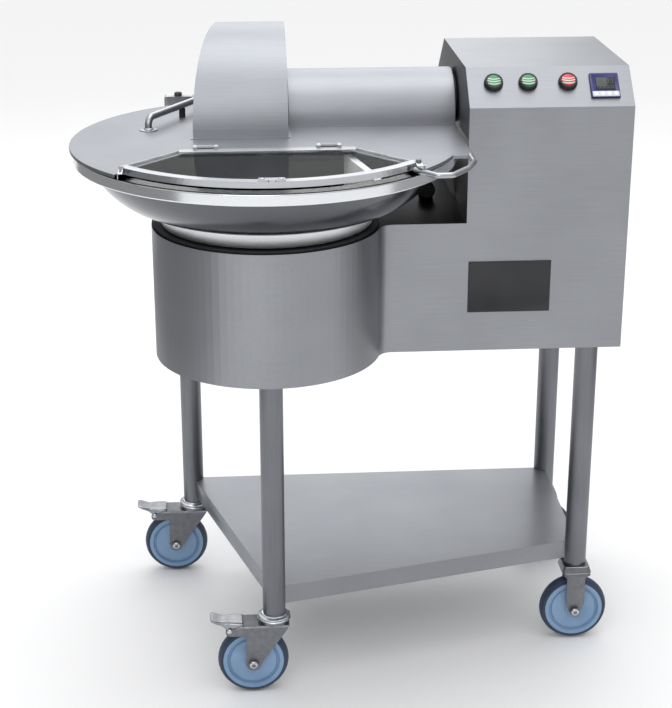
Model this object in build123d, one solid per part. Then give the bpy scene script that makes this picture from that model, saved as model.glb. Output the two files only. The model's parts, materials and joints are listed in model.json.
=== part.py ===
from build123d import *
import math
import os

# Meat bowl cutter on a four-legged castor stand.
# Frame: millimetres, +Z up, floor at z = 0, the control side faces -Y,
# origin below the middle of the machine's outer box.

# ---------------------------------------------------------------- driving dimensions
# Working height: cabinet, bowl, knives and lid all follow the lid's top
lid_top = 977.0

# Bowl and knife geometry
bowl_x = -154.0            # bowl axis
bowl_y = -48.0
trough_radius = 165.0      # bowl axis to the middle of the ring trough
knife_radius = 127.0
knife_gap = 4.0            # knife tip to trough wall
bowl_wall = 5.0
shaft_z = lid_top + 26.0   # knife shaft axis
rim_top = lid_top - 8.5
rim_height = 19.5
rim_radius = 314.0
rim_round = 3.0
hub_top = lid_top - 22.0

# Cabinet
drum_radius = 192.0
cabinet_front = -83.5
deck_z = lid_top - 139.5
cabinet_bottom = deck_z - 225.5
tower_gap = 17.0           # bowl rim to the tower's left wall
tower_left = bowl_x + rim_radius + tower_gap
tower_width = 272.5
tower_top = lid_top + 109.5
panel_foot_z = tower_top - 55.5   # lower edge of the sloping control panel
panel_depth = 59.7         # how far the panel leans back
back_slope_y = 250.0       # where the rear slope leaves the top
back_slope_drop = 98.0
sheet = 2.0                # cabinet and lid sheet
front_fillet = 26.0        # hollow between drum and front wall
corner_round = 12.0
hinge_gap = 22.0           # bowl rim to the lid's hinge axis
hinge_y = bowl_y + rim_radius + hinge_gap
hinge_to_back = 74.5
cabinet_back = hinge_y + hinge_to_back

base_sheet = 3.0

# Stand
leg_diameter = 40.0
leg_wall = 2.0
leg_insert = 40.0          # how far a leg reaches into its socket
socket_wall = 4.0
shelf_top = 200.0
shelf_sheet = 2.0
shelf_edge = 34.0          # height of the folded shelf edge

# Castors
castor_height = 154.0
wheel_diameter = 125.0
wheel_width = 32.0
tyre_depth = 9.0
castor_trail = 38.0
axle_diameter = 10.0
fork_sheet = 3.0
fork_gap = 4.0             # wheel side to fork side
fork_crown_z = 137.0       # top of the fork's crown

# Lid, hood and shaft cover
lid_radius = rim_radius + 5.5
lid_lip = 3.5              # folded lip below the lid sheet
lid_side_gap = 6.0         # lid to tower wall
lid_front_y = bowl_y - 130.0      # front edge of the square wing
hood_radius = 155.0
hood_z = lid_top + 8.0
hood_left = bowl_x - 119.0 # left end at the hood's front foot
hood_right = bowl_x + 38.0
hood_slant = 0.25          # the left end runs towards +X going back
cover_radius = 75.0
cover_flange = 6.0
hinge_z = lid_top - 9.0
hinge_rod_radius = 8.0
handle_rise = 21.0         # handle bar's middle above the lid
handle_bar_radius = 6.0
grab_rod_radius = 4.5

# Window flap
window_half_back = 133.0   # half width at the hinge side
window_half_front = 222.0
window_back = -98.0        # hinge side, from the bowl axis
window_front = -198.0      # where the slanting sides end, from the bowl axis
window_radius = rim_radius - 12.0
pane_thickness = 5.0
pane_lap = 7.0             # pane over the lid's edge
strip_height = 10.0
strip_sheet = 2.0
strip_depth = 16.0
window_pin_radius = 2.0

# Knife drive
shaft_radius = 15.0
arm_radius = 45.0
arm_bottom = lid_top - 5.0
arm_end = bowl_x + 50.0
arm_bearing_radius = 23.5
arm_bearing_width = 9.0
arm_flange = 12.0
pulley_x = tower_left + 121.0
belt_width = 18.0
belt_height = 6.0
shaft_pulley_radius = 45.0
motor_pulley_radius = 55.0
motor_y = 160.0
motor_z = cabinet_bottom + 94.0
motor_radius = 78.0

# Bowl drive
spindle_radius = 12.5
spindle_bearing_radius = 26.0
spindle_bearing_width = 15.0
bowl_belt_z = deck_z - 137.5
bowl_pulley_radius = 78.0
gear_pulley_radius = 26.0
gearmotor_x = bowl_x + 112.0
gearmotor_y = 150.0
gearbox_width = 92.0
gearmotor_radius = 42.0
gearmotor_length = 150.0

# Fits
fit = 0.05                 # radial clearance of a shaft in its bore
seat = 0.3                 # gap between faces that slide or turn past each other

# Controls
button_pitch_1 = 57.0
button_pitch_2 = 66.0
first_button = 42.8        # first button from the tower's left wall
button_up = 48.0           # buttons up the slope from its lower edge
bezel_radius = 15.5
bezel_height = 9.0
cap_radius = 11.5
cap_height = 4.0
button_travel = 3.0
controller_size = 48.0
controller_up = 40.0
controller_along = 226.0

# ---------------------------------------------------------------- derived places
shaft_y = bowl_y + trough_radius
trough_inner = knife_radius + knife_gap
trough_outer = trough_inner + bowl_wall
tower_right = tower_left + tower_width
lid_right = tower_left - lid_side_gap
lid_under = lid_top - sheet
leg_radius = leg_diameter / 2
axle_z = wheel_diameter / 2
cabinet_left = bowl_x - drum_radius
panel_rise = tower_top - panel_foot_z
panel_angle = math.degrees(math.atan2(panel_rise, panel_depth))
panel_length = math.hypot(panel_rise, panel_depth)
leg_places = {
    "front_left": (bowl_x, bowl_y - 95.0),
    "rear_left": (bowl_x - 144.5, cabinet_back - 33.5),
    "front_right": (tower_right - 39.0, cabinet_front + 88.5),
    "rear_right": (tower_right - 39.0, cabinet_back - 33.5),
}

nodes = {}
bearings = []             # ball bearings, kept as one group


def keep(name, shape):
    nodes[name] = shape


def tube(outer, inner, height):
    """Upright tube standing on z = 0."""
    bottom = (Align.CENTER, Align.CENTER, Align.MIN)
    return Cylinder(outer, height, align=bottom) - Cylinder(inner, height, align=bottom)


def disc(radius, height):
    return Cylinder(radius, height, align=(Align.CENTER, Align.CENTER, Align.MIN))


def block(x0, x1, y0, y1, z0, z1):
    return Pos(x0, y0, z0) * Box(x1 - x0, y1 - y0, z1 - z0, align=(Align.MIN,) * 3)


def turned(outline):
    """Solid turned about Z from a closed outline of (radius, height) edges."""
    return revolve(Plane.XZ * make_face(outline), axis=Axis.Z)


def turned_points(points):
    return turned(Polyline(*points, close=True))


def along_x(shape, x):
    """Lay a shape built on +Z along +X, starting at x."""
    return Pos(x, 0, 0) * (Rot(0, 90, 0) * shape)


def plan(face, z, height):
    return extrude(Pos(0, 0, z) * face, height, dir=(0, 0, 1))


# ---------------------------------------------------------------- stand
def leg(place):
    x, y = leg_places[place]
    height = cabinet_bottom + leg_insert - castor_height
    return Pos(x, y, castor_height) * tube(leg_radius, leg_radius - leg_wall, height)


def shelf():
    """Four-cornered tray with folded edges, notched round the legs."""
    order = ("front_left", "front_right", "rear_right", "rear_left")
    corners = [leg_places[name] for name in order]
    outline = make_face(Polyline(*corners, close=True))
    inner = offset(outline, -shelf_sheet, kind=Kind.INTERSECTION)
    tray = plan(outline, shelf_top - shelf_sheet, shelf_sheet)
    edge = plan(outline - inner, shelf_top - shelf_edge, shelf_edge - shelf_sheet)
    tray = tray + edge
    for x, y in corners:
        notch = Pos(x, y, shelf_top - shelf_edge) * disc(leg_radius + fit, shelf_edge)
        tray = tray - notch
    return tray


def stand():
    keep("legs", Compound([leg(place) for place in leg_places]))
    keep("stand_shelf", shelf())


# ---------------------------------------------------------------- cabinet
def lower_outline():
    """Plan of the cabinet below the deck: round drum, hollow corner, square body."""
    drum = Pos(bowl_x, bowl_y) * Circle(drum_radius)
    depth = cabinet_back - bowl_y
    width = tower_right - cabinet_left
    body = Pos(cabinet_left + width / 2, bowl_y + depth / 2) * Rectangle(width, depth)
    front = cabinet_front
    wing_width = tower_right - bowl_x
    wing_depth = bowl_y - front + 10
    wing = Pos(bowl_x + wing_width / 2, front + wing_depth / 2) * Rectangle(wing_width, wing_depth)
    outline = drum + body + wing
    meet = bowl_x + math.sqrt(drum_radius**2 - (front - bowl_y) ** 2)
    hollow = [v for v in outline.vertices() if math.hypot(v.X - meet, v.Y - front) < 1]
    outline = fillet(hollow, front_fillet)
    return outline


def tower_outline():
    """Side view of the cabinet's right-hand tower, in (y, z)."""
    points = [
        (cabinet_front, cabinet_bottom),
        (cabinet_front, panel_foot_z),
        (cabinet_front + panel_depth, tower_top),
        (back_slope_y, tower_top),
        (cabinet_back, tower_top - back_slope_drop),
        (cabinet_back, cabinet_bottom),
    ]
    return make_face(Polyline(*points, close=True))


def side_prism(face, x0, x1):
    """Extrude a (y, z) outline along X."""
    return extrude(Plane.YZ.offset(x0) * face, x1 - x0)


def cabinet():
    lower = lower_outline()
    lower_in = offset(lower, -sheet, kind=Kind.INTERSECTION)
    side = tower_outline()
    side_in = offset(side, -sheet, kind=Kind.INTERSECTION)
    outer = plan(lower, cabinet_bottom, deck_z - cabinet_bottom)
    outer = outer + side_prism(side, tower_left, tower_right)
    hollow = plan(lower_in, cabinet_bottom, deck_z - sheet - cabinet_bottom)
    hollow = hollow + side_prism(side_in, tower_left + sheet, tower_right - sheet)
    shell = outer - hollow
    shell = shell - Pos(bowl_x, bowl_y, deck_z - sheet) * disc(spindle_radius + 10, sheet)
    arm_hole = disc(arm_radius + seat, sheet)
    shell = shell - Pos(0, shaft_y, shaft_z) * along_x(arm_hole, tower_left)
    rod_hole = disc(hinge_rod_radius + fit, sheet)
    shell = shell - Pos(0, hinge_y, hinge_z) * along_x(rod_hole, tower_left)
    shell = shell - rear_opening()
    gland_hole = Rot(90, 0, 0) * Cylinder(gland_radius, 20)
    shell = shell - Pos(gland_x, cabinet_back, gland_z) * gland_hole
    keep("cable_gland", cable_gland())
    shell = shell - panel_holes()
    keep("cabinet_shell", shell)
    keep("base_plate", base_plate(lower_in))
    keep("rear_cover", rear_cover())
    keep("cover_screws", cover_screws())


gland_radius = 9.0
gland_x = tower_left - 69.0
gland_z = cabinet_bottom + 48.0
cover_margin = 36.0        # rear opening inside the rear wall
cover_bottom = cabinet_bottom + 38.0
cover_top = lid_top - 17.0
cover_lap = 14.0


def rear_opening():
    return block(
        tower_left + cover_margin, tower_right - cover_margin,
        cabinet_back - sheet, cabinet_back, cover_bottom, cover_top,
    )


def rear_cover():
    """Screwed sheet with cooling slots over the rear opening."""
    x0 = tower_left + cover_margin - cover_lap
    x1 = tower_right - cover_margin + cover_lap
    y0 = cabinet_back
    cover = block(x0, x1, y0, y0 + sheet, cover_bottom - cover_lap, cover_top + cover_lap)
    slot = Rot(90, 0, 0) * extrude(SlotOverall(110, 7), 4 * sheet, both=True)
    for row in range(8):
        cover = cover - Pos((x0 + x1) / 2, y0, cover_bottom + 30 + row * 16) * slot
    return cover


def cover_screws():
    """Pan-head screws round the rear cover."""
    x0 = tower_left + cover_margin - cover_lap / 2
    x1 = tower_right - cover_margin + cover_lap / 2
    z0 = cover_bottom - cover_lap / 2
    z1 = cover_top + cover_lap / 2
    head = Rot(-90, 0, 0) * disc(4.5, 2.5)
    places = [(x, z) for x in (x0, x1) for z in (z0, (z0 + z1) / 2, z1)]
    return Compound([Pos(x, cabinet_back + sheet, z) * head for x, z in places])


def cable_gland():
    """Screwed cable entry low on the rear wall; the cable itself is not part of this."""
    body = Rot(-90, 0, 0) * (extrude(RegularPolygon(13, 6), 5) + Pos(0, 0, 5) * tube(10, 6, 7))
    thread = Rot(90, 0, 0) * disc(gland_radius - fit, 8)
    bore = Rot(90, 0, 0) * Cylinder(6, 60)
    return Pos(gland_x, cabinet_back, gland_z) * (body + thread - bore)


def base_plate(outline):
    """Bottom plate with a closed socket over each leg."""
    plate = plan(offset(outline, -fit, kind=Kind.INTERSECTION), cabinet_bottom, base_sheet)
    socket_radius = leg_radius + fit + socket_wall
    for x, y in leg_places.values():
        socket = disc(socket_radius, leg_insert + socket_wall) - disc(leg_radius + fit, leg_insert)
        plate = plate - Pos(x, y, cabinet_bottom) * disc(leg_radius + fit, leg_insert)
        plate = plate + Pos(x, y, cabinet_bottom) * socket
    return plate


# ---------------------------------------------------------------- control panel
panel_plane = Plane(
    origin=(tower_left, cabinet_front, panel_foot_z),
    x_dir=(1, 0, 0),
    z_dir=(0, -panel_rise, panel_depth),
)
button_places = {
    "start_button": first_button,
    "speed_button": first_button + button_pitch_1,
    "stop_button": first_button + button_pitch_1 + button_pitch_2,
}


def on_panel(along, up, lift=0.0):
    """Place on the sloping panel: along X, up the slope, lifted off the sheet."""
    return panel_plane * Pos(along, up, lift)


stem_radius = 9.0


def panel_holes():
    holes = []
    for along in button_places.values():
        holes.append(on_panel(along, button_up, -2 * sheet) * disc(stem_radius + 2, 3 * sheet))
    cut = controller_size - 4
    holes.append(on_panel(controller_along, controller_up) * Box(cut, cut, 4 * sheet))
    return holes


def controls():
    bezels = []
    for name, along in button_places.items():
        seat_radius = cap_radius + seat
        collar = disc(bezel_radius, bezel_height) - disc(seat_radius, bezel_height)
        floor = tube(bezel_radius, stem_radius + seat, 2.0)
        thread = Pos(0, 0, -14) * tube(stem_radius + 2 - fit, stem_radius + seat, 14)
        collar = chamfer(collar.faces().sort_by(Axis.Z)[-1].outer_wire().edges(), 1.5)
        bezels.append(on_panel(along, button_up) * (collar + floor + thread))
        rest = bezel_height - cap_height + 1.5
        cap = Pos(0, 0, rest) * disc(cap_radius, cap_height)
        cap = fillet(cap.faces().sort_by(Axis.Z)[-1].edges(), 1.2)
        stem = Pos(0, 0, -12) * disc(stem_radius - 4, rest + 12)
        keep(name, on_panel(along, button_up) * (cap + stem))
    keep("button_bezels", Compound(bezels))
    case = on_panel(controller_along, controller_up, 2.5) * Box(controller_size, controller_size, 5)
    case = fillet(case.edges().filter_by(Axis(panel_plane.origin, panel_plane.z_dir)), 2)
    body_size = controller_size - 4 - 2 * fit
    body = on_panel(controller_along, controller_up, -30) * Box(body_size, body_size, 60)
    face_size = controller_size - 8
    pocket = on_panel(controller_along, controller_up, 4.5) * Box(face_size, face_size, 1.0)
    glass = on_panel(controller_along, controller_up, 4.4) * Box(face_size - fit, face_size - fit, 0.8)
    keep("controller", Compound([case + body - pocket, glass]))
    plate_width = 140.0
    plate_height = 89.5
    plate_left = tower_left + 5.0
    plate_bottom = cabinet_bottom + 69.0
    plate = block(
        plate_left, plate_left + plate_width,
        cabinet_front - 1.5, cabinet_front, plate_bottom, plate_bottom + plate_height,
    )
    keep("name_plate", plate)


# ---------------------------------------------------------------- bowl
def trough_r(z, radius, side):
    """Radius from the bowl axis at height z on a trough circle."""
    return trough_radius + side * math.sqrt(radius**2 - (shaft_z - z) ** 2)


def trough_z(r, radius):
    """Height of the lower half of a trough circle at radius r."""
    return shaft_z - math.sqrt(radius**2 - (r - trough_radius) ** 2)


hub_floor = hub_top - 5.0
rim_bottom = rim_top - rim_height
turntable_foot_radius = 176.0
seal_margin = 5.0          # deck seal and turntable inside the drum's edge
turntable_top_radius = drum_radius - seal_margin
turntable_bottom = deck_z + 6.0
turntable_wall = 8.0
seal_inside = 150.0
boss_radius = 28.0


def bowl():
    inner_rim = (trough_r(rim_top, trough_inner, 1), rim_top)
    inner_hub = (trough_r(hub_top, trough_inner, -1), hub_top)
    outer_hub = (trough_r(hub_floor, trough_outer, -1), hub_floor)
    outer_rim = (trough_r(rim_bottom, trough_outer, 1), rim_bottom)
    bore = spindle_radius + fit
    outline = [
        ThreePointArc(inner_rim, (trough_radius, shaft_z - trough_inner), inner_hub),
        Polyline(inner_hub, (bore, hub_top), (bore, hub_floor), outer_hub),
        ThreePointArc(outer_hub, (trough_radius, shaft_z - trough_outer), outer_rim),
        Polyline(outer_rim, (rim_radius, rim_bottom), (rim_radius, rim_top), inner_rim),
    ]
    body = turned(outline)
    rim_edges = [
        e for e in body.edges().filter_by(GeomType.CIRCLE)
        if abs(e.radius - rim_radius) < 0.1
    ]
    return fillet(rim_edges, rim_round)


def turntable():
    """Carrier under the bowl: tapered ring, web and centre boss."""
    inside = turntable_top_radius - turntable_wall
    inside_foot = turntable_foot_radius - turntable_wall
    middle = (inside + turntable_top_radius) / 2
    web_bottom = turntable_bottom + 1.5
    web_top = web_bottom + 6.0
    bore = spindle_radius + fit
    ring_top = ThreePointArc(
        (inside, trough_z(inside, trough_outer)),
        (middle, trough_z(middle, trough_outer)),
        (turntable_top_radius, trough_z(turntable_top_radius, trough_outer)),
    )
    side = Polyline(
        (turntable_top_radius, trough_z(turntable_top_radius, trough_outer)),
        (turntable_foot_radius, turntable_bottom),
        (inside_foot, turntable_bottom),
        (inside_foot, web_bottom),
        (bore, web_bottom),
        (bore, hub_floor),
        (boss_radius, hub_floor),
        (boss_radius, web_top),
        (inside_foot, web_top),
        (inside, trough_z(inside, trough_outer)),
    )
    return turned([ring_top, side])


buffer_radius = 14.5
buffer_x = tower_left - 48.0
buffer_y = 86.0


def deck_buffer():
    """Round rubber buffer facing the front, on a foot standing on the deck."""
    centre_z = deck_z + buffer_radius + 1
    pad = Pos(buffer_x, buffer_y, centre_z) * (Rot(90, 0, 0) * disc(buffer_radius, 14))
    pad = chamfer(pad.edges().filter_by(GeomType.CIRCLE).sort_by(Axis.Y)[0], 2)
    foot = block(buffer_x - 12, buffer_x + 12, buffer_y, buffer_y + 22, deck_z, deck_z + 3)
    back = block(buffer_x - 12, buffer_x + 12, buffer_y, buffer_y + 3, deck_z, centre_z + 8)
    return pad + foot + back


spindle_bottom = bowl_belt_z - 12.0
housing_bottom = deck_z - 113.5


def bowl_group():
    at_bowl = Pos(bowl_x, bowl_y, 0)
    keep("bowl", at_bowl * bowl())
    keep("turntable", at_bowl * turntable())
    web_bottom = turntable_bottom + 1.5
    spindle = Pos(0, 0, spindle_bottom) * disc(spindle_radius, hub_top + 8 - spindle_bottom)
    shoulder = Pos(0, 0, web_bottom - 5) * disc(spindle_radius + 5, 5)
    keep("bowl_spindle", at_bowl * (spindle + shoulder))
    nut_bore = spindle_radius + fit
    nut = turned_points([
        (nut_bore, hub_top), (27, hub_top), (27, hub_top + 5), (18, hub_top + 12),
        (nut_bore, hub_top + 12),
    ])
    grip = Pos(31, 0, hub_top) * disc(7, 12)
    for turn in range(6):
        nut = nut - Rot(0, 0, 60 * turn) * grip
    keep("bowl_clamp_nut", at_bowl * nut)
    flange_top = deck_z - sheet
    bore = spindle_bearing_radius + fit
    neck = spindle_bearing_radius - 4
    width = spindle_bearing_width
    housing = turned_points([
        (bore, flange_top), (75, flange_top), (75, flange_top - 7), (38, flange_top - 7),
        (34, housing_bottom), (bore, housing_bottom), (bore, housing_bottom + width),
        (neck, housing_bottom + width), (neck, flange_top - width), (bore, flange_top - width),
    ])
    keep("spindle_housing", at_bowl * housing)
    bearing = tube(spindle_bearing_radius, spindle_radius + fit, width)
    groove = Pos(0, 0, width) * (tube(22, 17, 1.5))
    bearing = bearing - groove.moved(Location((0, 0, -1.5)))
    levels = (housing_bottom, flange_top - width)
    bearings.extend(at_bowl * Pos(0, 0, z) * bearing for z in levels)
    seal = Pos(0, 0, deck_z) * tube(turntable_top_radius, seal_inside, 3.0)
    keep("deck_rubber_parts", Compound([at_bowl * seal, deck_buffer()]))


# ---------------------------------------------------------------- belts and motors
def pulley(radius, bore, hub_length):
    """Grooved pulley, its groove middle at z = 0."""
    half = belt_width / 2 + 3
    groove = belt_height - 1
    points = [
        (bore, -half), (radius + 3, -half), (radius + 3, -half + 2), (radius - groove, -half + 4),
        (radius - groove, half - 4), (radius + 3, half - 2), (radius + 3, half),
        (bore + 12, half), (bore + 12, half + hub_length), (bore, half + hub_length),
    ]
    return turned_points(points)


def belt(radius_a, radius_b, span):
    """Belt loop round two pulleys, the second at +X by span."""
    def loop(extra):
        grow_a = radius_a - belt_height + 1 + extra
        grow_b = radius_b - belt_height + 1 + extra
        angle = math.acos((grow_a - grow_b) / span)
        c, s = math.cos(angle), math.sin(angle)
        sides = Polyline(
            (grow_a * c, grow_a * s), (span + grow_b * c, grow_b * s),
            (span + grow_b * c, -grow_b * s), (grow_a * c, -grow_a * s), close=True,
        )
        return make_face(sides) + Circle(grow_a) + Pos(span, 0) * Circle(grow_b)

    width = belt_width - 6
    ring = loop(belt_height) - loop(seat)
    return extrude(ring, width / 2, both=True)


def bowl_drive():
    bore = spindle_radius + fit
    wheel = Pos(bowl_x, bowl_y, bowl_belt_z) * pulley(bowl_pulley_radius, bore, 4)
    keep("bowl_pulley", wheel)
    gear_shaft = 9.0
    small = pulley(gear_pulley_radius, 0, 2)
    stub = Pos(0, 0, belt_width / 2 + 3) * disc(gear_shaft, 14)
    keep("gearmotor_pulley", Pos(gearmotor_x, gearmotor_y, bowl_belt_z) * (small + stub))
    span = math.hypot(gearmotor_x - bowl_x, gearmotor_y - bowl_y)
    turn = math.degrees(math.atan2(gearmotor_y - bowl_y, gearmotor_x - bowl_x))
    loop = Rot(0, 0, turn) * belt(bowl_pulley_radius, gear_pulley_radius, span)
    keep("bowl_belt", Pos(bowl_x, bowl_y, bowl_belt_z) * loop)
    case_bottom = bowl_belt_z + belt_width / 2 + 8
    case_top = deck_z - 37.5
    case = Pos(0, 0, case_bottom) * Box(
        gearbox_width, gearbox_width, case_top - case_bottom,
        align=(Align.CENTER, Align.CENTER, Align.MIN),
    )
    case = fillet(case.edges().filter_by(Axis.Z), 10)
    case = case - Pos(0, 0, case_bottom) * disc(gear_shaft + fit, 16)
    hanger = Pos(0, 0, case_top) * Box(
        70, 70, deck_z - sheet - case_top, align=(Align.CENTER, Align.CENTER, Align.MIN)
    )
    middle = (case_bottom + case_top) / 2
    motor = Rot(0, -90, 0) * disc(gearmotor_radius, gearmotor_length)
    motor = Pos(-gearbox_width / 2, 0, middle) * motor
    keep("bowl_gearmotor", Pos(gearmotor_x, gearmotor_y, 0) * (case + hanger + motor))


def knife_drive():
    at_shaft = Pos(0, shaft_y, shaft_z)
    at_motor = Pos(0, motor_y, motor_z)
    top = pulley(shaft_pulley_radius, shaft_radius + fit, 8)
    keep("shaft_pulley", at_shaft * along_x(top, pulley_x))
    motor_shaft = 14.0
    low = pulley(motor_pulley_radius, 0, 6)
    stub = Pos(0, 0, -belt_width / 2 - 3 - 40) * disc(motor_shaft, 40)
    keep("motor_pulley", at_motor * along_x(low + stub, pulley_x))
    span = math.hypot(motor_y - shaft_y, motor_z - shaft_z)
    loop = belt(shaft_pulley_radius, motor_pulley_radius, span)
    tilt = math.degrees(math.atan2(motor_y - shaft_y, shaft_z - motor_z))
    keep("knife_belt", at_shaft * Rot(tilt, 0, 0) * along_x(loop, pulley_x))
    body_right = pulley_x - belt_width / 2 - 3 - 8
    body_length = 205.0
    body_left = body_right - body_length
    shell = along_x(disc(motor_radius, body_length), body_left)
    bore = along_x(disc(motor_shaft + fit, 34), body_right - 34)
    foot = block(body_left + 20, body_right - 20, -70, 70, cabinet_bottom + base_sheet - motor_z, -50)
    keep("knife_motor", at_motor * (shell + foot - bore))


# ---------------------------------------------------------------- knife shaft
knife_spacing = 22.0
blade_thickness = 5.0
blade_hub = 32.0
head_radius = 22.0
blade_count = 3


def blade():
    """Sickle blade in the XY plane: bored root, bowed edge, tip on the knife circle."""
    root = Circle(blade_hub)
    tip_angle = math.radians(62)
    heel_angle = math.radians(100)
    tip = (knife_radius * math.cos(tip_angle), knife_radius * math.sin(tip_angle))
    heel = (knife_radius * math.cos(heel_angle), knife_radius * math.sin(heel_angle))
    top = (
        knife_radius * math.cos((tip_angle + heel_angle) / 2),
        knife_radius * math.sin((tip_angle + heel_angle) / 2),
    )
    sickle = make_face([
        ThreePointArc((blade_hub * 0.9, -8), (76, 52), tip),
        ThreePointArc(tip, top, heel),
        ThreePointArc(heel, (-2, 74), (-blade_hub * 0.9, 8)),
        Line((-blade_hub * 0.9, 8), (blade_hub * 0.9, -8)),
    ])
    profile = root + sickle - Circle(head_radius + fit)
    return extrude(profile, blade_thickness)


def knife_group():
    at_shaft = Pos(0, shaft_y, shaft_z)
    first = bowl_x - knife_spacing
    blades = []
    for number in range(blade_count):
        turn = 360 / blade_count * number
        place = first + knife_spacing * number
        blades.append(at_shaft * along_x(Rot(0, 0, turn) * blade(), place))
    keep("knife_blades", Compound(blades))
    head_left = first - 6
    head_right = first + knife_spacing * (blade_count - 1) + blade_thickness + 6
    bore = shaft_radius + fit
    length = head_right - head_left
    sleeve = along_x(tube(head_radius, bore, length), head_left)
    collar = along_x(tube(blade_hub - 2, bore, 6), head_right - 6)
    spacer = tube(blade_hub - 3, head_radius, knife_spacing - blade_thickness)
    for number in range(blade_count - 1):
        start = first + knife_spacing * number + blade_thickness
        sleeve = sleeve + along_x(spacer, start)
    head = at_shaft * (sleeve + collar)
    shaft_left = head_left - 16
    shaft_right = pulley_x + belt_width / 2 + 20
    keep("knife_shaft", at_shaft * along_x(disc(shaft_radius, shaft_right - shaft_left), shaft_left))
    nut = extrude(RegularPolygon(26, 6), 10) + Pos(0, 0, 10) * disc(29, 6)
    nut = nut - disc(bore, 16)
    keep("knife_head", Compound([head, at_shaft * along_x(nut, head_left - 16)]))
    arm_group(at_shaft)


def arm_group(at_shaft):
    """Fixed arm from the tower over the bowl rim, with the shaft bearings."""
    length = tower_left + sheet - arm_end
    body = along_x(disc(arm_radius, length), arm_end)
    flange = Box(arm_flange, 132, 130, align=(Align.MIN, Align.CENTER, Align.CENTER))
    flange = Pos(tower_left + sheet, 0, 0) * flange
    flat = block(arm_end - 1, tower_left, -arm_radius, arm_radius, -arm_radius, arm_bottom - shaft_z)
    arm = body + flange - flat
    arm = arm - along_x(disc(arm_bearing_radius - 3, length + 20), arm_end)
    levels = (arm_end, tower_left - arm_bearing_width)
    width = arm_bearing_width
    arm = arm - along_x(disc(arm_bearing_radius + fit, width), arm_end)
    arm = arm - along_x(disc(arm_bearing_radius + fit, 30), tower_left - width)
    keep("shaft_arm", at_shaft * arm)
    ring = tube(arm_bearing_radius, shaft_radius + fit, width)
    bearings.extend(at_shaft * along_x(ring, x) for x in levels)


# ---------------------------------------------------------------- lid
def window_outline(grow, reach):
    """Trapezium of the lid's window, widened by grow and run out by reach."""
    slope = (window_half_front - window_half_back) / (window_back - window_front)
    far = window_front - reach
    half_far = window_half_front + slope * reach
    return make_face(Pos(bowl_x, bowl_y) * Polyline(
        (-window_half_back - grow, window_back + grow), (window_half_back + grow, window_back + grow),
        (half_far + grow, far), (-half_far - grow, far), close=True,
    ))


def lid_outline():
    round_part = Pos(bowl_x, bowl_y) * Circle(lid_radius)
    back = bowl_y + lid_radius
    wing_width = lid_right - bowl_x
    wing_depth = back - lid_front_y
    wing = Pos(bowl_x + wing_width / 2, lid_front_y + wing_depth / 2) * Rectangle(wing_width, wing_depth)
    return round_part + wing


def hood_plan(inset):
    """Plan of the hood: square right end, slanting left end."""
    front = shaft_y - hood_radius + inset
    back = shaft_y + hood_radius - inset
    left_front = hood_left + inset
    left_back = hood_left + inset + hood_slant * (back - front)
    return make_face(Polyline(
        (hood_right - inset, front), (hood_right - inset, back),
        (left_back, back), (left_front, front), close=True,
    ))


def arch(radius, foot):
    """(y, z) outline of a half-round roof on upright sides down to foot."""
    centre = hood_z
    legs = Pos(shaft_y, (centre + foot) / 2) * Rectangle(2 * radius, centre - foot)
    return legs + Pos(shaft_y, centre) * Circle(radius) - Pos(shaft_y, foot - radius) * Rectangle(
        4 * radius, 2 * radius
    )


def hood():
    foot = lid_top
    outer = side_prism(arch(hood_radius, foot), hood_left - 20, hood_right)
    outer = outer & plan(hood_plan(0), foot, 300)
    inner = side_prism(arch(hood_radius - sheet, foot), hood_left - 20, hood_right - sheet)
    inner = inner & plan(hood_plan(sheet), foot, 300)
    flange = plan(hood_plan(-4) - hood_plan(sheet), foot, 1.5)
    body = outer - inner + flange
    passage = side_prism(arch(cover_radius - sheet, foot), hood_right - 10, hood_right + 10)
    return body - passage


def shaft_cover():
    foot = lid_top
    roof = arch(cover_radius, foot) - arch(cover_radius - sheet, foot)
    flange = Pos(shaft_y, foot + 0.75) * Rectangle(2 * (cover_radius + cover_flange), 1.5)
    flange = flange - Pos(shaft_y, foot) * Rectangle(2 * (cover_radius - sheet), 10)
    return side_prism(roof + flange, hood_right + 4, lid_right)


def lid_sheet():
    outline = lid_outline() - window_outline(0, 150)
    hood_hole = hood_plan(8)
    slot_width = lid_right - hood_right + 20
    slot = Rectangle(slot_width + 20, 2 * (cover_radius - 8))
    slot = Pos(lid_right - slot_width / 2 + 10, shaft_y) * slot
    inner = offset(lid_outline(), -sheet, kind=Kind.INTERSECTION)
    top = plan(outline - hood_hole - slot, lid_under, sheet)
    lip = plan(outline - inner - slot, lid_under - lid_lip, lid_lip)
    return top + lip


def bar(points, radius, bend):
    """Round bar bent along points."""
    path = FilletPolyline(*points, radius=bend)
    profile = Plane(origin=path @ 0, z_dir=path % 0) * Circle(radius)
    return sweep(profile, path=path)


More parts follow.
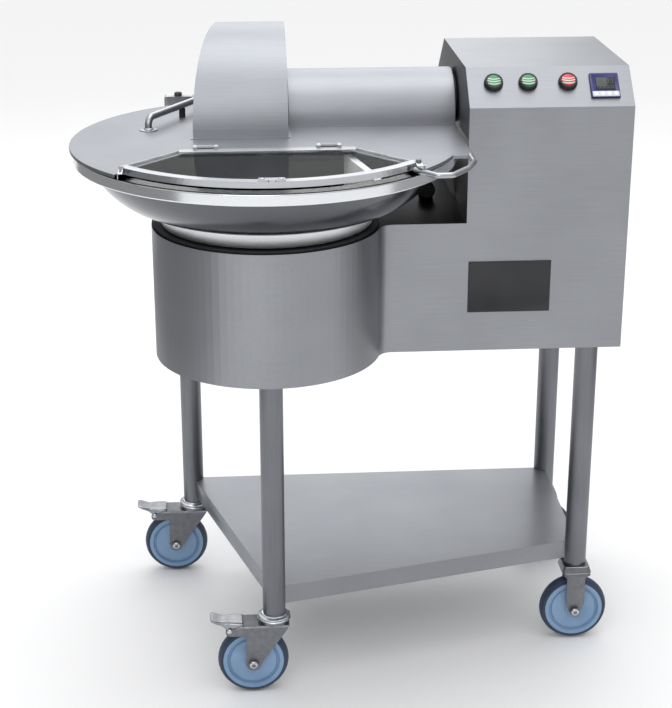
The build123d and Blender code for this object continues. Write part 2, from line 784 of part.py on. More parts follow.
def lid_group():
    keep("lid_sheet", lid_sheet())
    keep("knife_hood", hood())
    keep("shaft_cover", shaft_cover())
    bar_z = lid_top + handle_rise
    foot_a = (bowl_x - 194, bowl_y + 81)
    foot_b = (bowl_x - 96, bowl_y + 254)
    corners = [(*foot_a, lid_top), (*foot_a, bar_z), (*foot_b, bar_z), (*foot_b, lid_top)]
    handle = bar(corners, handle_bar_radius, 13)
    for x, y in (foot_a, foot_b):
        handle = handle + Pos(x, y, lid_top) * disc(15, 1.5)
    keep("lid_handle", handle)
    middle_x = foot_a[0] + 0.56 * (foot_b[0] - foot_a[0])
    middle_y = foot_a[1] + 0.56 * (foot_b[1] - foot_a[1])
    keep("handle_buffer", Pos(middle_x, middle_y, lid_top) * disc(5.5, handle_rise - handle_bar_radius))
    rod_z = lid_top - sheet / 2
    rod_front = bowl_y - window_radius
    rod_points = [
        (lid_right - 103, rod_front + 88), (lid_right - 73, rod_front + 50),
        (lid_right - 49, rod_front + 52), (lid_right - 19, rod_front + 94),
        (lid_right - 5, rod_front + 132), (lid_right - 5, lid_front_y),
    ]
    keep("grab_rod", bar([(x, y, rod_z) for x, y in rod_points], grab_rod_radius, 2 * grab_rod_radius))
    hinge_group()
    scraper_group()


arm_half = 12.0            # half width of a lid hinge strap
strap = 4.0
hinge_strap_places = (bowl_x - 104.0, lid_right - 73.0)
knuckle_wall = 5.0


def hinge_group():
    """Fixed post and rod behind the bowl, and the lid's two hinge straps."""
    post_x0 = bowl_x - 174.0
    post_x1 = bowl_x - 121.0
    post_front = hinge_y - 12
    post_back = hinge_y + 14
    post_top = hinge_z + 14
    post = block(post_x0, post_x1, post_front, post_back, deck_z, post_top)
    uprights = post.edges().filter_by(Axis.Z)
    shoulders = post.edges().filter_by(Axis.Y).sort_by(Axis.Z)[-2:]
    post = fillet(uprights + shoulders, 5)
    hollow = block(post_x0 + 4, post_x1 - 4, post_front + 4, post_back + 1, deck_z + 4, post_top - 24)
    foot = block(post_x0 - 12, post_x1 + 12, post_front, post_back + 20, deck_z, deck_z + 4)
    post = post - hollow + foot
    bore = along_x(disc(hinge_rod_radius + fit, 60), post_x0 + 8)
    post = post - Pos(0, hinge_y, hinge_z) * bore
    keep("hinge_post", post)
    rod_left = post_x0 + 8
    rod = along_x(disc(hinge_rod_radius, tower_left + sheet + 6 - rod_left), rod_left)
    collar = along_x(disc(hinge_rod_radius + 7, 5), tower_left - 5)
    keep("hinge_rod", Pos(0, hinge_y, hinge_z) * (rod + collar))
    rod_bore = hinge_rod_radius + fit
    knuckle = rod_bore + knuckle_wall
    at_hinge = Pos(0, hinge_y, hinge_z)
    straps = []
    for x in hinge_strap_places:
        reach = bowl_y + math.sqrt(lid_radius**2 - (min(x, bowl_x) - bowl_x) ** 2) - 24
        flat = block(x - arm_half, x + arm_half, reach, hinge_y, lid_top, lid_top + strap)
        barrel = at_hinge * along_x(disc(knuckle, 2 * arm_half), x - arm_half)
        hole = at_hinge * along_x(disc(rod_bore, 2 * arm_half), x - arm_half)
        straps.append(flat + barrel - hole)
    keep("lid_hinge_straps", Compound(straps))


scraper_thickness = 12.0
scraper_length = 190.0
scraper_depth = 125.0
scraper_gap = 3.0          # scraper to trough wall
scraper_top_gap = 8.0      # trough part of the scraper below the lid


def scraper_group():
    """White plough plate under the lid that turns the meat off the outer wall."""
    top = lid_under
    start = Vector(bowl_x + 123, bowl_y - 82)
    direction = Vector(24, -105).normalized()
    sweep_radius = trough_inner - scraper_gap
    level = top - scraper_top_gap
    outer_end = (trough_r(level, sweep_radius, 1), level)
    inner_end = (trough_r(level, sweep_radius, -1), level)
    lowest = (trough_radius, shaft_z - sweep_radius)
    profile = turned([ThreePointArc(outer_end, lowest, inner_end), Line(inner_end, outer_end)])
    angle = math.degrees(math.atan2(direction.Y, direction.X))
    plate = block(0, scraper_length, 0, scraper_thickness, top - scraper_depth, top)
    plate = Pos(start.X, start.Y, 0) * (Rot(0, 0, angle) * plate)
    ring = Pos(bowl_x, bowl_y, 0) * profile
    keep("scraper", plate & ring)


# ---------------------------------------------------------------- window flap
window_pin_lift = 9.0      # hinge pin above the lid's top
window_hinge_offset = 98.0 # hinge middle, left and right of the bowl axis
hinge_length = 25.0


def window_group():
    pane_z = lid_top + 0.5
    at_bowl = Pos(bowl_x, bowl_y)
    reach = at_bowl * Circle(window_radius - strip_sheet - seat)
    outline = window_outline(pane_lap, 150)
    keep("window_pane", plan(outline & reach, pane_z, pane_thickness))
    pane_top = pane_z + pane_thickness
    strip_top = pane_top + strip_sheet
    outer = at_bowl * Circle(window_radius)
    upright = outer - at_bowl * Circle(window_radius - strip_sheet)
    upright = upright & window_outline(-1.0, 150)
    ledge = (outer - at_bowl * Circle(window_radius - strip_depth)) & outline
    foot = strip_top - strip_height
    strip = plan(upright, foot, strip_height) + plan(ledge, pane_top, strip_sheet)
    back = bowl_y + window_back
    edge = back + pane_lap
    half = window_half_back + pane_lap
    bar_back = block(bowl_x - half, bowl_x + half, back - 12, edge, pane_top, strip_top)
    pin_y = edge + 5
    pin_z = lid_top + window_pin_lift
    at_pin = Pos(0, pin_y, pin_z)
    eye_radius_window = window_pin_radius + 2
    leaves = []
    for side in (-1, 1):
        x = bowl_x + side * window_hinge_offset
        x0 = x - hinge_length / 2
        x1 = x + hinge_length / 2
        bar_back = bar_back + at_pin * along_x(disc(window_pin_radius, hinge_length + 16), x0 - 8)
        for lug in (x0 - 7, x1 + 1):
            eye = at_pin * along_x(disc(eye_radius_window, 6), lug)
            tongue = block(lug, lug + 6, back, pin_y, pane_top + 0.5, pin_z + 3)
            bar_back = bar_back + eye + tongue
        barrel = at_pin * along_x(disc(eye_radius_window, hinge_length), x0)
        bore = at_pin * along_x(disc(window_pin_radius + fit, hinge_length), x0)
        post = block(x0, x1, pin_y - 1.5, pin_y + 4, lid_top, pin_z)
        plate = block(x0, x1, pin_y - 1.5, pin_y + 18, lid_top, lid_top + 1.5)
        leaves.append(barrel + post + plate - bore)
    keep("window_back_strip", bar_back)
    keep("window_hinge_leaves", Compound(leaves))
    front = bowl_y - window_radius
    lug = block(bowl_x - 20, bowl_x + 20, front + 3, front + 17, strip_top, strip_top + 2)
    tab = block(bowl_x - 5, bowl_x + 5, front - 6, front + 6, strip_top, strip_top + 4)
    catch = fillet((lug + tab).edges().filter_by(Axis.Z), 1.5)
    keep("window_front_strip", Compound([strip, catch]))


# ---------------------------------------------------------------- castors
fork_half = wheel_width / 2 + fork_gap      # inside half width of the fork
head_radius_castor = 29.0
eye_radius = 13.5
crown_half = 26.0          # half length of the fork's crown
strip_half = 17.0          # rigid fork: half width of the side strip
strip_eye_radius = 10.5
rigid_head = 60.0
tyre_room = wheel_diameter / 2 + 2.5


def castor_core():
    """Wheel body: hub, flat disc, groove and raised ring, bored along Z."""
    half = wheel_width / 2
    rim = wheel_diameter / 2 - tyre_depth
    hub = 15.0
    bore = axle_diameter / 2 + fit
    side = [
        (hub, half), (hub + 2, half - 5), (rim - 13, half - 5), (rim - 11, half - 8),
        (rim - 9, half - 8), (rim - 7, half - 3), (rim, half - 3),
    ]
    other = [(r, -z) for r, z in reversed(side)]
    return turned_points([(bore, half)] + side + other + [(bore, -half)])


def castor_tyre():
    half = wheel_width / 2
    rim = wheel_diameter / 2 - tyre_depth
    outer = wheel_diameter / 2
    return turned([
        Polyline((outer - 5, half - 4), (rim + 4, half - 2), (rim, half - 3), (rim, -half + 3),
                 (rim + 4, -half + 2), (outer - 5, -half + 4)),
        ThreePointArc((outer - 5, -half + 4), (outer, 0), (outer - 5, half - 4)),
    ])


def castor_axle():
    """Axle bolt with hexagon head and nut, along Z."""
    reach = fork_half + fork_sheet
    shank = Cylinder(axle_diameter / 2, 2 * reach + 10)
    head = Pos(0, 0, reach) * extrude(RegularPolygon(9.5, 6), 6)
    nut = Pos(0, 0, -reach - 7) * extrude(RegularPolygon(9.5, 6), 7)
    return shank + head + nut


def fork_side(trail, crown_half):
    """Side view (x, z) of a fork from the axle eye up to its crown."""
    eye = Pos(-trail, axle_z) * Circle(eye_radius)
    left = min(-trail - eye_radius, -crown_half)
    plate = make_face(Polyline(
        (-trail - eye_radius, axle_z), (-trail + eye_radius, axle_z),
        (crown_half - 4, fork_crown_z - 8), (crown_half, fork_crown_z),
        (left, fork_crown_z), (left + 2, fork_crown_z - 8), close=True,
    ))
    return eye + plate


def fork_nose():
    """Side view (x, z) of the arm that carries the brake pedal ahead of the wheel."""
    top = fork_crown_z
    return make_face(Polyline(
        (-20, top), (-56, top), (-82, top - 8), (-86, top - 12), (-84, top - 17),
        (-76, top - 19), (-20, top - 19), close=True,
    ))


def strip_side():
    """Side view (x, z) of a rigid fork: straight strip tapering to the axle eye."""
    eye = Pos(0, axle_z) * Circle(strip_eye_radius)
    strip = make_face(Polyline(
        (-strip_half, fork_crown_z), (-strip_half, axle_z + 15), (-strip_eye_radius, axle_z),
        (strip_eye_radius, axle_z), (strip_half, axle_z + 15), (strip_half, fork_crown_z),
        close=True,
    ))
    return eye + strip


def fork(side, half):
    """Pressed fork: two cheeks under a crown, bored for the axle."""
    width = 2 * (half + fork_sheet)
    outer = extrude(Plane.XZ * side, width / 2, both=True)
    rims = outer.edges().filter_by(Axis.X).sort_by(Axis.Z)[-2:]
    outer = fillet(rims, 4)
    inner = offset(side, -fork_sheet, kind=Kind.INTERSECTION)
    crown = extrude(Plane.XZ * inner, half, both=True)
    below = Box(400, 2 * half, 200, align=(Align.CENTER, Align.CENTER, Align.MAX))
    below = Pos(0, 0, fork_crown_z - 18) * below
    return outer - crown - below


def swivel_head():
    """Ball-race plate and stem plug above a swivel fork."""
    top = castor_height
    race = turned_points([
        (0, fork_crown_z + seat + 5), (10, fork_crown_z + seat + 5), (10, fork_crown_z + seat + 7),
        (head_radius_castor, fork_crown_z + seat + 7), (head_radius_castor, top - 7),
        (head_radius_castor - 8, top), (0, top),
    ])
    plug = Pos(0, 0, top) * disc(leg_radius - leg_wall - fit, 22)
    return race + plug


def fork_race():
    """Lower half of the swivel bearing, carried by the fork."""
    base = fork_crown_z
    return turned_points([
        (12, base), (head_radius_castor - 3, base), (head_radius_castor - 3, base + 5),
        (12, base + 5),
    ])


def rigid_top():
    """Formed head of a rigid castor: square plate with a sloping skirt, and a stem plug."""
    half = fork_half + fork_sheet
    neck = Pos(0, 0, fork_crown_z - 6) * Rectangle(2 * strip_half, 2 * half)
    plate = Pos(0, 0, fork_crown_z + 5) * Rectangle(rigid_head, rigid_head)
    top = Pos(0, 0, castor_height) * Rectangle(rigid_head - 8, rigid_head - 8)
    head = loft([neck, plate]) + loft([plate, top])
    return head + Pos(0, 0, castor_height) * disc(leg_radius - leg_wall - fit, 22)


pedal_pin = (-79.0, 128.0)   # brake pedal pin from the swivel axis: x, z
pedal_sheet = 2.5
pin_radius = 3.0


def brake_pedal():
    """Stamped foot lever over the fork's nose, turning on its pin."""
    x, z = pedal_pin
    side = make_face(Polyline(
        (x + 22, z + 10.2), (x + 22, z + 13.2), (x, z + 14), (x - 12, z + 13), (x - 29, z + 17),
        (x - 31, z + 14.5), (x - 30, z + 12), (x - 13, z + 7), (x - 9, z - 5), (x - 4, z - 8),
        (x + 4, z - 8), (x + 9, z - 4), (x + 14, z + 7), close=True,
    ))
    inside_half = fork_half + fork_sheet + seat
    body = extrude(Plane.XZ * side, inside_half + pedal_sheet, both=True)
    under = make_face(Polyline(
        (x + 24, z + 10.4), (x, z + 11), (x - 12, z + 10), (x - 13, z - 20), (x + 24, z - 20),
        close=True,
    ))
    body = body - extrude(Plane.XZ * under, inside_half, both=True)
    pin = Pos(x, 0, z) * (Rot(90, 0, 0) * Cylinder(pin_radius, 2 * (inside_half + pedal_sheet) + 3))
    return body + pin


def castors():
    wheel_turn = Rot(90, 0, 0)
    heads = []
    rigid = []
    for place, (x, y) in leg_places.items():
        swivels = place.endswith("left")
        trail = castor_trail if swivels else 0.0
        at_leg = Pos(x, y, 0)
        at_axle = Pos(x - trail, y, axle_z)
        keep(f"wheel_core_{place}", at_axle * (wheel_turn * castor_core()))
        keep(f"tyre_{place}", at_axle * (wheel_turn * castor_tyre()))
        axle = at_axle * (wheel_turn * castor_axle())
        axle_bore = Pos(-trail, 0, axle_z) * (wheel_turn * Cylinder(axle_diameter / 2 + fit, 100))
        wheel_room = Pos(-trail, 0, axle_z) * (wheel_turn * Cylinder(tyre_room, 2 * fork_half))
        if swivels:
            side = fork_side(trail, crown_half) + fork_nose()
            crown = fork(side, fork_half) + fork_race() - wheel_room
            px, pz = pedal_pin
            pin_bore = Pos(px, 0, pz) * (wheel_turn * Cylinder(pin_radius + fit, 100))
            keep(f"castor_fork_{place}", Compound([at_leg * (crown - pin_bore - axle_bore), axle]))
            keep(f"brake_pedal_{place}", at_leg * brake_pedal())
            heads.append(at_leg * swivel_head())
        else:
            body = fork(strip_side(), fork_half) + rigid_top()
            body = body - axle_bore - wheel_room
            rigid += [at_leg * body, axle]
    keep("swivel_heads", Compound(heads))
    keep("rigid_castor_forks", Compound(rigid))


def build():
    stand()
    cabinet()
    controls()
    bowl_group()
    bowl_drive()
    knife_drive()
    knife_group()
    lid_group()
    window_group()
    castors()
    keep("ball_bearings", Compound(bearings))


def write():
    os.makedirs("parts", exist_ok=True)
    for name, shape in nodes.items():
        export_step(shape, f"parts/{name}.step")


build()
write()
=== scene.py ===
import json
import math

import bpy
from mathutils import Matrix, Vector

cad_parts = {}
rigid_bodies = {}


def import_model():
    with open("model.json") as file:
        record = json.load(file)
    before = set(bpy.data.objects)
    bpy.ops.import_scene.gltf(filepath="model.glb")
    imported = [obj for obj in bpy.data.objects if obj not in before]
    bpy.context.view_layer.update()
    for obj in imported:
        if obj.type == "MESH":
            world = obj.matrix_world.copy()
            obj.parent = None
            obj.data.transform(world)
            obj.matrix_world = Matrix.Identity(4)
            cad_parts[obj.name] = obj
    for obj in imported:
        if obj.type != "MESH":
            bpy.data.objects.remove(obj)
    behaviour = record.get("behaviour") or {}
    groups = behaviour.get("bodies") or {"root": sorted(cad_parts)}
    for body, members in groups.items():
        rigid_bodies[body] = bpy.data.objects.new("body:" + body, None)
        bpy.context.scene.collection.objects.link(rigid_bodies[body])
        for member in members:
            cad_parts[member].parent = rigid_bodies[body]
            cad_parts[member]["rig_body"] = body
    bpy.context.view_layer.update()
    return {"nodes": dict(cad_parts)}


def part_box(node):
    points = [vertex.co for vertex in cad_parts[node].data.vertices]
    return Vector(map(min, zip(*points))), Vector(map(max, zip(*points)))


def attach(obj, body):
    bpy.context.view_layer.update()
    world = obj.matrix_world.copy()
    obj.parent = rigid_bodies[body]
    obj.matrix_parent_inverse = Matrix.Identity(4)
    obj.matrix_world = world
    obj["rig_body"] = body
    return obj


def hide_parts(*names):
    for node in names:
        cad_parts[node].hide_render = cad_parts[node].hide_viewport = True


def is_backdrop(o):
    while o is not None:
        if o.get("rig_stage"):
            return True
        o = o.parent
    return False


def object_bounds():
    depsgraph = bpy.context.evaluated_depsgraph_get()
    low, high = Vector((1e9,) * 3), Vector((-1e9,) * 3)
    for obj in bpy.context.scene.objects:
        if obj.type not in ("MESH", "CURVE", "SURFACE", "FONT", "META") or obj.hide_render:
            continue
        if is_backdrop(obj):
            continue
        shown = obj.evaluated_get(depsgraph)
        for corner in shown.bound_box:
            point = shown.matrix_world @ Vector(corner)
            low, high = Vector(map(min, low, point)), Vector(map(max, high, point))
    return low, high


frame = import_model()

nodes = frame["nodes"]

# ---------------------------------------------------------------- camera
# A long lens a little above head height, three metres away, turned four
# degrees to the right and looking down twenty.
lens = bpy.data.cameras.new("camera")
lens.lens = 86.14
camera = bpy.data.objects.new("camera", lens)
camera.location = (-0.22872, -2.77662, 1.62147)
camera.rotation_euler = (math.radians(69.483), 0, math.radians(-3.989))
bpy.context.collection.objects.link(camera)
bpy.context.scene.camera = camera
bpy.context.scene.view_settings.view_transform = "Standard"


# ---------------------------------------------------------------- studio
# A pale seamless floor in a white surround, three large soft lamps overhead,
# high in front and high behind, and a grey screen standing at each side.
def linear(code, alpha=1.0):
    """Linear colour of an sRGB hex code such as 8f9196."""
    parts = [int(code[i:i + 2], 16) / 255 for i in (0, 2, 4)]
    steps = [c / 12.92 if c <= 0.04045 else ((c + 0.055) / 1.055) ** 2.4 for c in parts]
    return (*steps, alpha)


def add_node(owner, kind, settings=None, links=None):
    """Add a node to a material or the world, with its settings and its incoming links."""
    tree = owner.node_tree
    node = tree.nodes.new(kind)
    for name, value in (settings or {}).items():
        if name == "stops":
            # a colour ramp's stops in rising order: position and colour of each
            ramp = node.color_ramp.elements
            for _ in range(len(value) - 2):
                ramp.new(1.0)
            for stop, (position, colour) in zip(ramp, value):
                stop.position, stop.color = position, colour
        elif isinstance(name, int) or name in node.inputs:
            node.inputs[name].default_value = value
        else:
            setattr(node, name, value)
    for name, socket in (links or {}).items():
        tree.links.new(socket, node.inputs[name])
    return node


def new_material(name):
    """Material with an empty node tree."""
    material = bpy.data.materials.new(name)
    material.use_nodes = True
    material.node_tree.nodes.clear()
    return material


def finish_material(material, shader):
    """Join the finished shader to the material's output."""
    add_node(material, "ShaderNodeOutputMaterial", None, {"Surface": shader.outputs[0]})


world = bpy.data.worlds.new("studio_surround")
bpy.context.scene.world = world
world.use_nodes = True
world.node_tree.nodes.clear()
direction = add_node(world, "ShaderNodeTexCoord")
split = add_node(world, "ShaderNodeSeparateXYZ", None, {0: direction.outputs["Generated"]})
# brightness by height, from the horizon to straight up
sky = add_node(world, "ShaderNodeValToRGB", {"stops": (
    (0.0, (0.42, 0.425, 0.435, 1)), (0.34, (0.8, 0.805, 0.815, 1)),
    (0.7, (1.25, 1.25, 1.26, 1)), (1.0, (1.2, 1.2, 1.21, 1)))}, {0: split.outputs["Z"]})
# half as bright straight out to either side
side_dimming = 0.5
sideways = add_node(world, "ShaderNodeMath", {"operation": "POWER", 1: 2.0}, {0: split.outputs["X"]})
side_shade = add_node(world, "ShaderNodeMath", {"operation": "MULTIPLY_ADD", 1: -side_dimming, 2: 1.0},
                      {0: sideways.outputs[0]})
surround = add_node(world, "ShaderNodeBackground", None,
                    {"Color": sky.outputs[0], "Strength": side_shade.outputs[0]})
# the camera and clear parts see the plain white background itself
seen = add_node(world, "ShaderNodeLightPath")
direct = add_node(world, "ShaderNodeMath", {"operation": "MAXIMUM"},
                  {0: seen.outputs["Is Camera Ray"], 1: seen.outputs["Is Transmission Ray"]})
backdrop = add_node(world, "ShaderNodeBackground", {"Color": (1, 1, 1, 1), "Strength": 1.0})
whole = add_node(world, "ShaderNodeMixShader", None,
                 {0: direct.outputs[0], 1: surround.outputs[0], 2: backdrop.outputs[0]})
add_node(world, "ShaderNodeOutputWorld", None, {"Surface": whole.outputs[0]})


def soft_lamp(name, place, aim, size, power):
    """Square soft lamp at a place, facing a point."""
    data = bpy.data.lights.new(name, "AREA")
    data.shape = "SQUARE"
    data.size = size
    data.energy = power
    lamp = bpy.data.objects.new(name, data)
    lamp.location = place
    x, y, z = (a - p for a, p in zip(aim, place))
    lamp.rotation_euler = (math.atan2(math.hypot(x, y), -z), 0, math.atan2(y, x) - math.pi / 2)
    lamp.visible_camera = False
    bpy.context.collection.objects.link(lamp)


soft_lamp("overhead_lamp", (0.0, 0.2, 3.8), (0.0, 0.0, 0.8), 2.4, 30)
soft_lamp("front_lamp", (-0.9, -3.6, 2.7), (0.0, 0.0, 0.7), 2.0, 22)
soft_lamp("back_lamp", (0.0, 3.2, 3.0), (0.0, 0.0, 0.9), 2.2, 22)


def side_screen(name, place, size, level):
    """Grey screen beside the stage that only polished metal shows, as a darker edge."""
    bpy.ops.mesh.primitive_plane_add(size=1, location=place, rotation=(0, math.pi / 2, 0))
    screen = bpy.context.object
    screen.name = name
    screen.scale = (size[1], size[0], 1)
    cloth = new_material(name + "_cloth")
    finish_material(cloth, add_node(cloth, "ShaderNodeEmission", {"Color": (level, level, level * 1.02, 1)}))
    screen.data.materials.append(cloth)
    screen.visible_camera = False
    screen.visible_diffuse = False
    screen.visible_transmission = False
    screen.visible_shadow = False
    screen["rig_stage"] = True


side_screen("left_screen", (-1.6, 0.4, 0.62), (3.4, 1.24), 0.28)
side_screen("right_screen", (1.75, 0.7, 0.55), (2.8, 1.1), 0.38)

floor_white = new_material("studio_paper")
finish_material(floor_white, add_node(floor_white, "ShaderNodeBsdfDiffuse", {"Color": linear("f6f6f6")}))
bpy.ops.mesh.primitive_plane_add(size=40, location=(0, 0, 0))
floor = bpy.context.object
floor.name = "studio_floor"
floor.data.materials.append(floor_white)
floor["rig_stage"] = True


# ---------------------------------------------------------------- sheet metal of the cabinet
# Chrome-nickel stainless steel sheet, cut, folded and welded, with a fine
# brushed face: soft grey with faint lines that all run the same way.
def brushed_steel(name, dark, light, rough_low, rough_high, grain):
    """Ground or brushed metal: two close tones, broken gloss and a fine relief.

    grain gives the cells per metre along X, Y and Z."""
    steel = new_material(name)
    place = add_node(steel, "ShaderNodeTexCoord")
    along = add_node(steel, "ShaderNodeMapping", {"Scale": grain}, {"Vector": place.outputs["Object"]})
    lines = add_node(steel, "ShaderNodeTexNoise", {"Scale": 1.0, "Detail": 3.0, "Roughness": 0.6},
                     {"Vector": along.outputs[0]})
    clouds = add_node(steel, "ShaderNodeTexNoise", {"Scale": 7.0, "Detail": 2.0},
                      {"Vector": place.outputs["Object"]})
    blend = add_node(steel, "ShaderNodeMath", {"operation": "ADD"},
                     {0: lines.outputs[0], 1: clouds.outputs[0]})
    half = add_node(steel, "ShaderNodeMath", {"operation": "MULTIPLY", 1: 0.5}, {0: blend.outputs[0]})
    tone = add_node(steel, "ShaderNodeValToRGB", {"stops": ((0.35, linear(dark)), (0.65, linear(light)))},
                    {"Fac": half.outputs[0]})
    rough = add_node(steel, "ShaderNodeMapRange", {"To Min": rough_low, "To Max": rough_high},
                     {"Value": half.outputs[0]})
    relief = add_node(steel, "ShaderNodeBump", {"Strength": 0.12, "Distance": 0.0002},
                      {"Height": lines.outputs[0]})
    shader = add_node(steel, "ShaderNodeBsdfPrincipled", {"Metallic": 1.0},
                      {"Base Color": tone.outputs[0], "Roughness": rough.outputs[0],
                       "Normal": relief.outputs[0]})
    fewest = min(grain)
    if fewest < 50:
        # long lines: the gloss spreads across them, and they run along the axis with fewest cells
        lines_along = "XYZ"[grain.index(fewest)]
        across = add_node(steel, "ShaderNodeTangent", {"direction_type": "RADIAL", "axis": lines_along})
        shader.inputs["Anisotropic"].default_value = 0.7
        steel.node_tree.links.new(across.outputs[0], shader.inputs["Tangent"])
    finish_material(steel, shader)
    return steel


def dress(material, *names):
    """Give CAD nodes a material in place of the plain one."""
    for name in names:
        slots = nodes[name].data.materials
        slots.clear()
        slots.append(material)


def deselect():
    """Leave nothing selected, so that an operator acts on the new piece alone."""
    if bpy.context.object and bpy.context.object.mode == "EDIT":
        bpy.ops.object.mode_set(mode="OBJECT")
    bpy.ops.object.select_all(action="DESELECT")


def apply_modifier(piece, kind, **settings):
    """Add a modifier with its settings and apply it."""
    modifier = piece.modifiers.new(kind.lower(), kind)
    for name, value in settings.items():
        setattr(modifier, name, value)
    bpy.context.view_layer.objects.active = piece
    bpy.ops.object.modifier_apply(modifier=modifier.name)


fold_angle = math.radians(50)     # sharper turns than this stay a crisp edge in the shading
flat_angle = math.radians(0.5)    # faces that turn less than this are one flat face


def soften(node, radius, material, steps=2, sharp=None, edge_highlight=None, flats=False):
    """Piece in place of a CAD node: a merged copy whose folds and cut edges are rounded.

    sharp(middle of an edge, its length) is true for edges that stay as they are;
    edge_highlight is the brighter steel put on the rounded edges as a painted highlight; flats joins
    the triangles of each flat face first."""
    deselect()
    piece = bpy.data.objects.new(node + "_finished", nodes[node].data.copy())
    bpy.context.collection.objects.link(piece)
    piece.select_set(True)
    bpy.context.view_layer.objects.active = piece
    if piece.data.has_custom_normals:
        bpy.ops.mesh.customdata_custom_splitnormals_clear()
    bpy.ops.object.mode_set(mode="EDIT")
    bpy.ops.mesh.select_all(action="SELECT")
    bpy.ops.mesh.remove_doubles(threshold=0.00001)
    if flats:
        bpy.ops.mesh.dissolve_limited(angle_limit=flat_angle)
    bpy.ops.mesh.select_all(action="DESELECT")
    bpy.ops.mesh.edges_select_sharp(sharpness=math.radians(35))
    bpy.ops.object.mode_set(mode="OBJECT")
    weights = piece.data.attributes.new("bevel_weight_edge", "FLOAT", "EDGE")
    for edge in piece.data.edges:
        one, two = (piece.data.vertices[v].co for v in edge.vertices)
        keep = sharp is not None and sharp((one + two) / 2, (one - two).length)
        weights.data[edge.index].value = 1.0 if edge.select and not keep else 0.0
    piece.data.materials.clear()
    piece.data.materials.append(material)
    if edge_highlight:
        piece.data.materials.append(edge_highlight)
    if radius:
        apply_modifier(piece, "BEVEL", width=radius, segments=steps, limit_method="WEIGHT",
                       use_clamp_overlap=True, material=1 if edge_highlight else -1)
    bpy.ops.object.shade_smooth_by_angle(angle=fold_angle)
    apply_modifier(piece, "WEIGHTED_NORMAL", keep_sharp=True)
    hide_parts(node)
    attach(piece, nodes[node]["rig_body"])
    return piece


def overlap(owner, first, *others):
    """Mask that is 1 only where all of several masks are."""
    shared = first
    for mask in others:
        both = add_node(owner, "ShaderNodeMath", {"operation": "MULTIPLY"}, {0: shared, 1: mask})
        shared = both.outputs[0]
    return shared


def between(owner, value, low, high, soft=0.0005):
    """Mask that is 1 where a value lies between two limits, with a soft edge."""
    rise = add_node(owner, "ShaderNodeMapRange", {"From Min": low - soft, "From Max": low + soft},
                    {"Value": value})
    fall = add_node(owner, "ShaderNodeMapRange", {"From Min": high + soft, "From Max": high - soft},
                    {"Value": value})
    return overlap(owner, rise.outputs[0], fall.outputs[0])


def retone(owner, mask, code):
    """Give the masked part of a steel another tone, keeping its grain."""
    shader = next(n for n in owner.node_tree.nodes if n.bl_idname == "ShaderNodeBsdfPrincipled")
    link = shader.inputs["Base Color"].links[0]
    grain = next(n for n in owner.node_tree.nodes if n.bl_idname == "ShaderNodeTexNoise")
    near = add_node(owner, "ShaderNodeMapRange", {"To Min": 0.88, "To Max": 1.12},
                    {"Value": grain.outputs[0]})
    tint = add_node(owner, "ShaderNodeVectorMath", {"operation": "SCALE", 0: linear(code)[:3]},
                    {"Scale": near.outputs[0]})
    mixed = add_node(owner, "ShaderNodeMix", {"data_type": "RGBA"},
                     {0: mask, 6: link.from_socket, 7: tint.outputs[0]})
    owner.node_tree.links.new(mixed.outputs[2], shader.inputs["Base Color"])


# level lines 80 mm long and 0.9 mm apart: real scratches, some 0.1 mm apart, are too fine to show
level_lines = (12, 1100, 1100)
# ground stainless sheet: a mid grey with wide soft highlights and faint level lines
cabinet_steel = brushed_steel("brushed_stainless_sheet", "94969b", "a0a2a6", 0.36, 0.46, level_lines)
dress(cabinet_steel, "rear_cover", "base_plate")
# painted shade: the deck under the bowl painted nearly black, and the wall that faces the bowl painted dark,
# darkest under the lid
deck_height, bowl_wall_x = 0.8378, 0.177
spot = add_node(cabinet_steel, "ShaderNodeTexCoord")
height = add_node(cabinet_steel, "ShaderNodeSeparateXYZ", None, {0: spot.outputs["Object"]})
facing = add_node(cabinet_steel, "ShaderNodeSeparateXYZ", None, {0: spot.outputs["Normal"]})
at_deck = between(cabinet_steel, height.outputs[2], deck_height - 0.0012, deck_height + 0.0012)
deck = overlap(cabinet_steel, at_deck, between(cabinet_steel, facing.outputs[2], 0.9, 1.1, 0.05))
wall = overlap(cabinet_steel, between(cabinet_steel, facing.outputs[0], -1.1, -0.9, 0.05),
               between(cabinet_steel, height.outputs[0], bowl_wall_x - 0.0008, bowl_wall_x + 0.0008))
under_lid = overlap(cabinet_steel, wall, between(cabinet_steel, height.outputs[2], 0.83, 0.968, 0.004))
retone(cabinet_steel, wall, "4e5054")
retone(cabinet_steel, under_lid, "232427")
retone(cabinet_steel, deck, "1e1f22")
# the short edges above the deck are the button holes, which stay sharp
hole_edge, above_deck = 0.02, 0.86
soften("cabinet_shell", 0.0014, cabinet_steel, 3,
       lambda middle, length: length < hole_edge and middle.z > above_deck)

# ---------------------------------------------------------------- stand
# Four welded stainless tubes and a folded shelf tray between them, brushed
# along their length.
# drawn tube, ground lengthwise: a darker grey with a streak of light down each leg
tube_steel = brushed_steel("brushed_stainless_tube", "707277", "7f8186", 0.32, 0.42, (1100, 1100, 12))
dress(tube_steel, "legs")
# the cabinet's sheet a shade darker: painted shade under the cabinet
shelf_steel = brushed_steel("brushed_stainless_tray", "8f9196", "9c9ea2", 0.36, 0.46, level_lines)
soften("stand_shelf", 0.0012, shelf_steel)


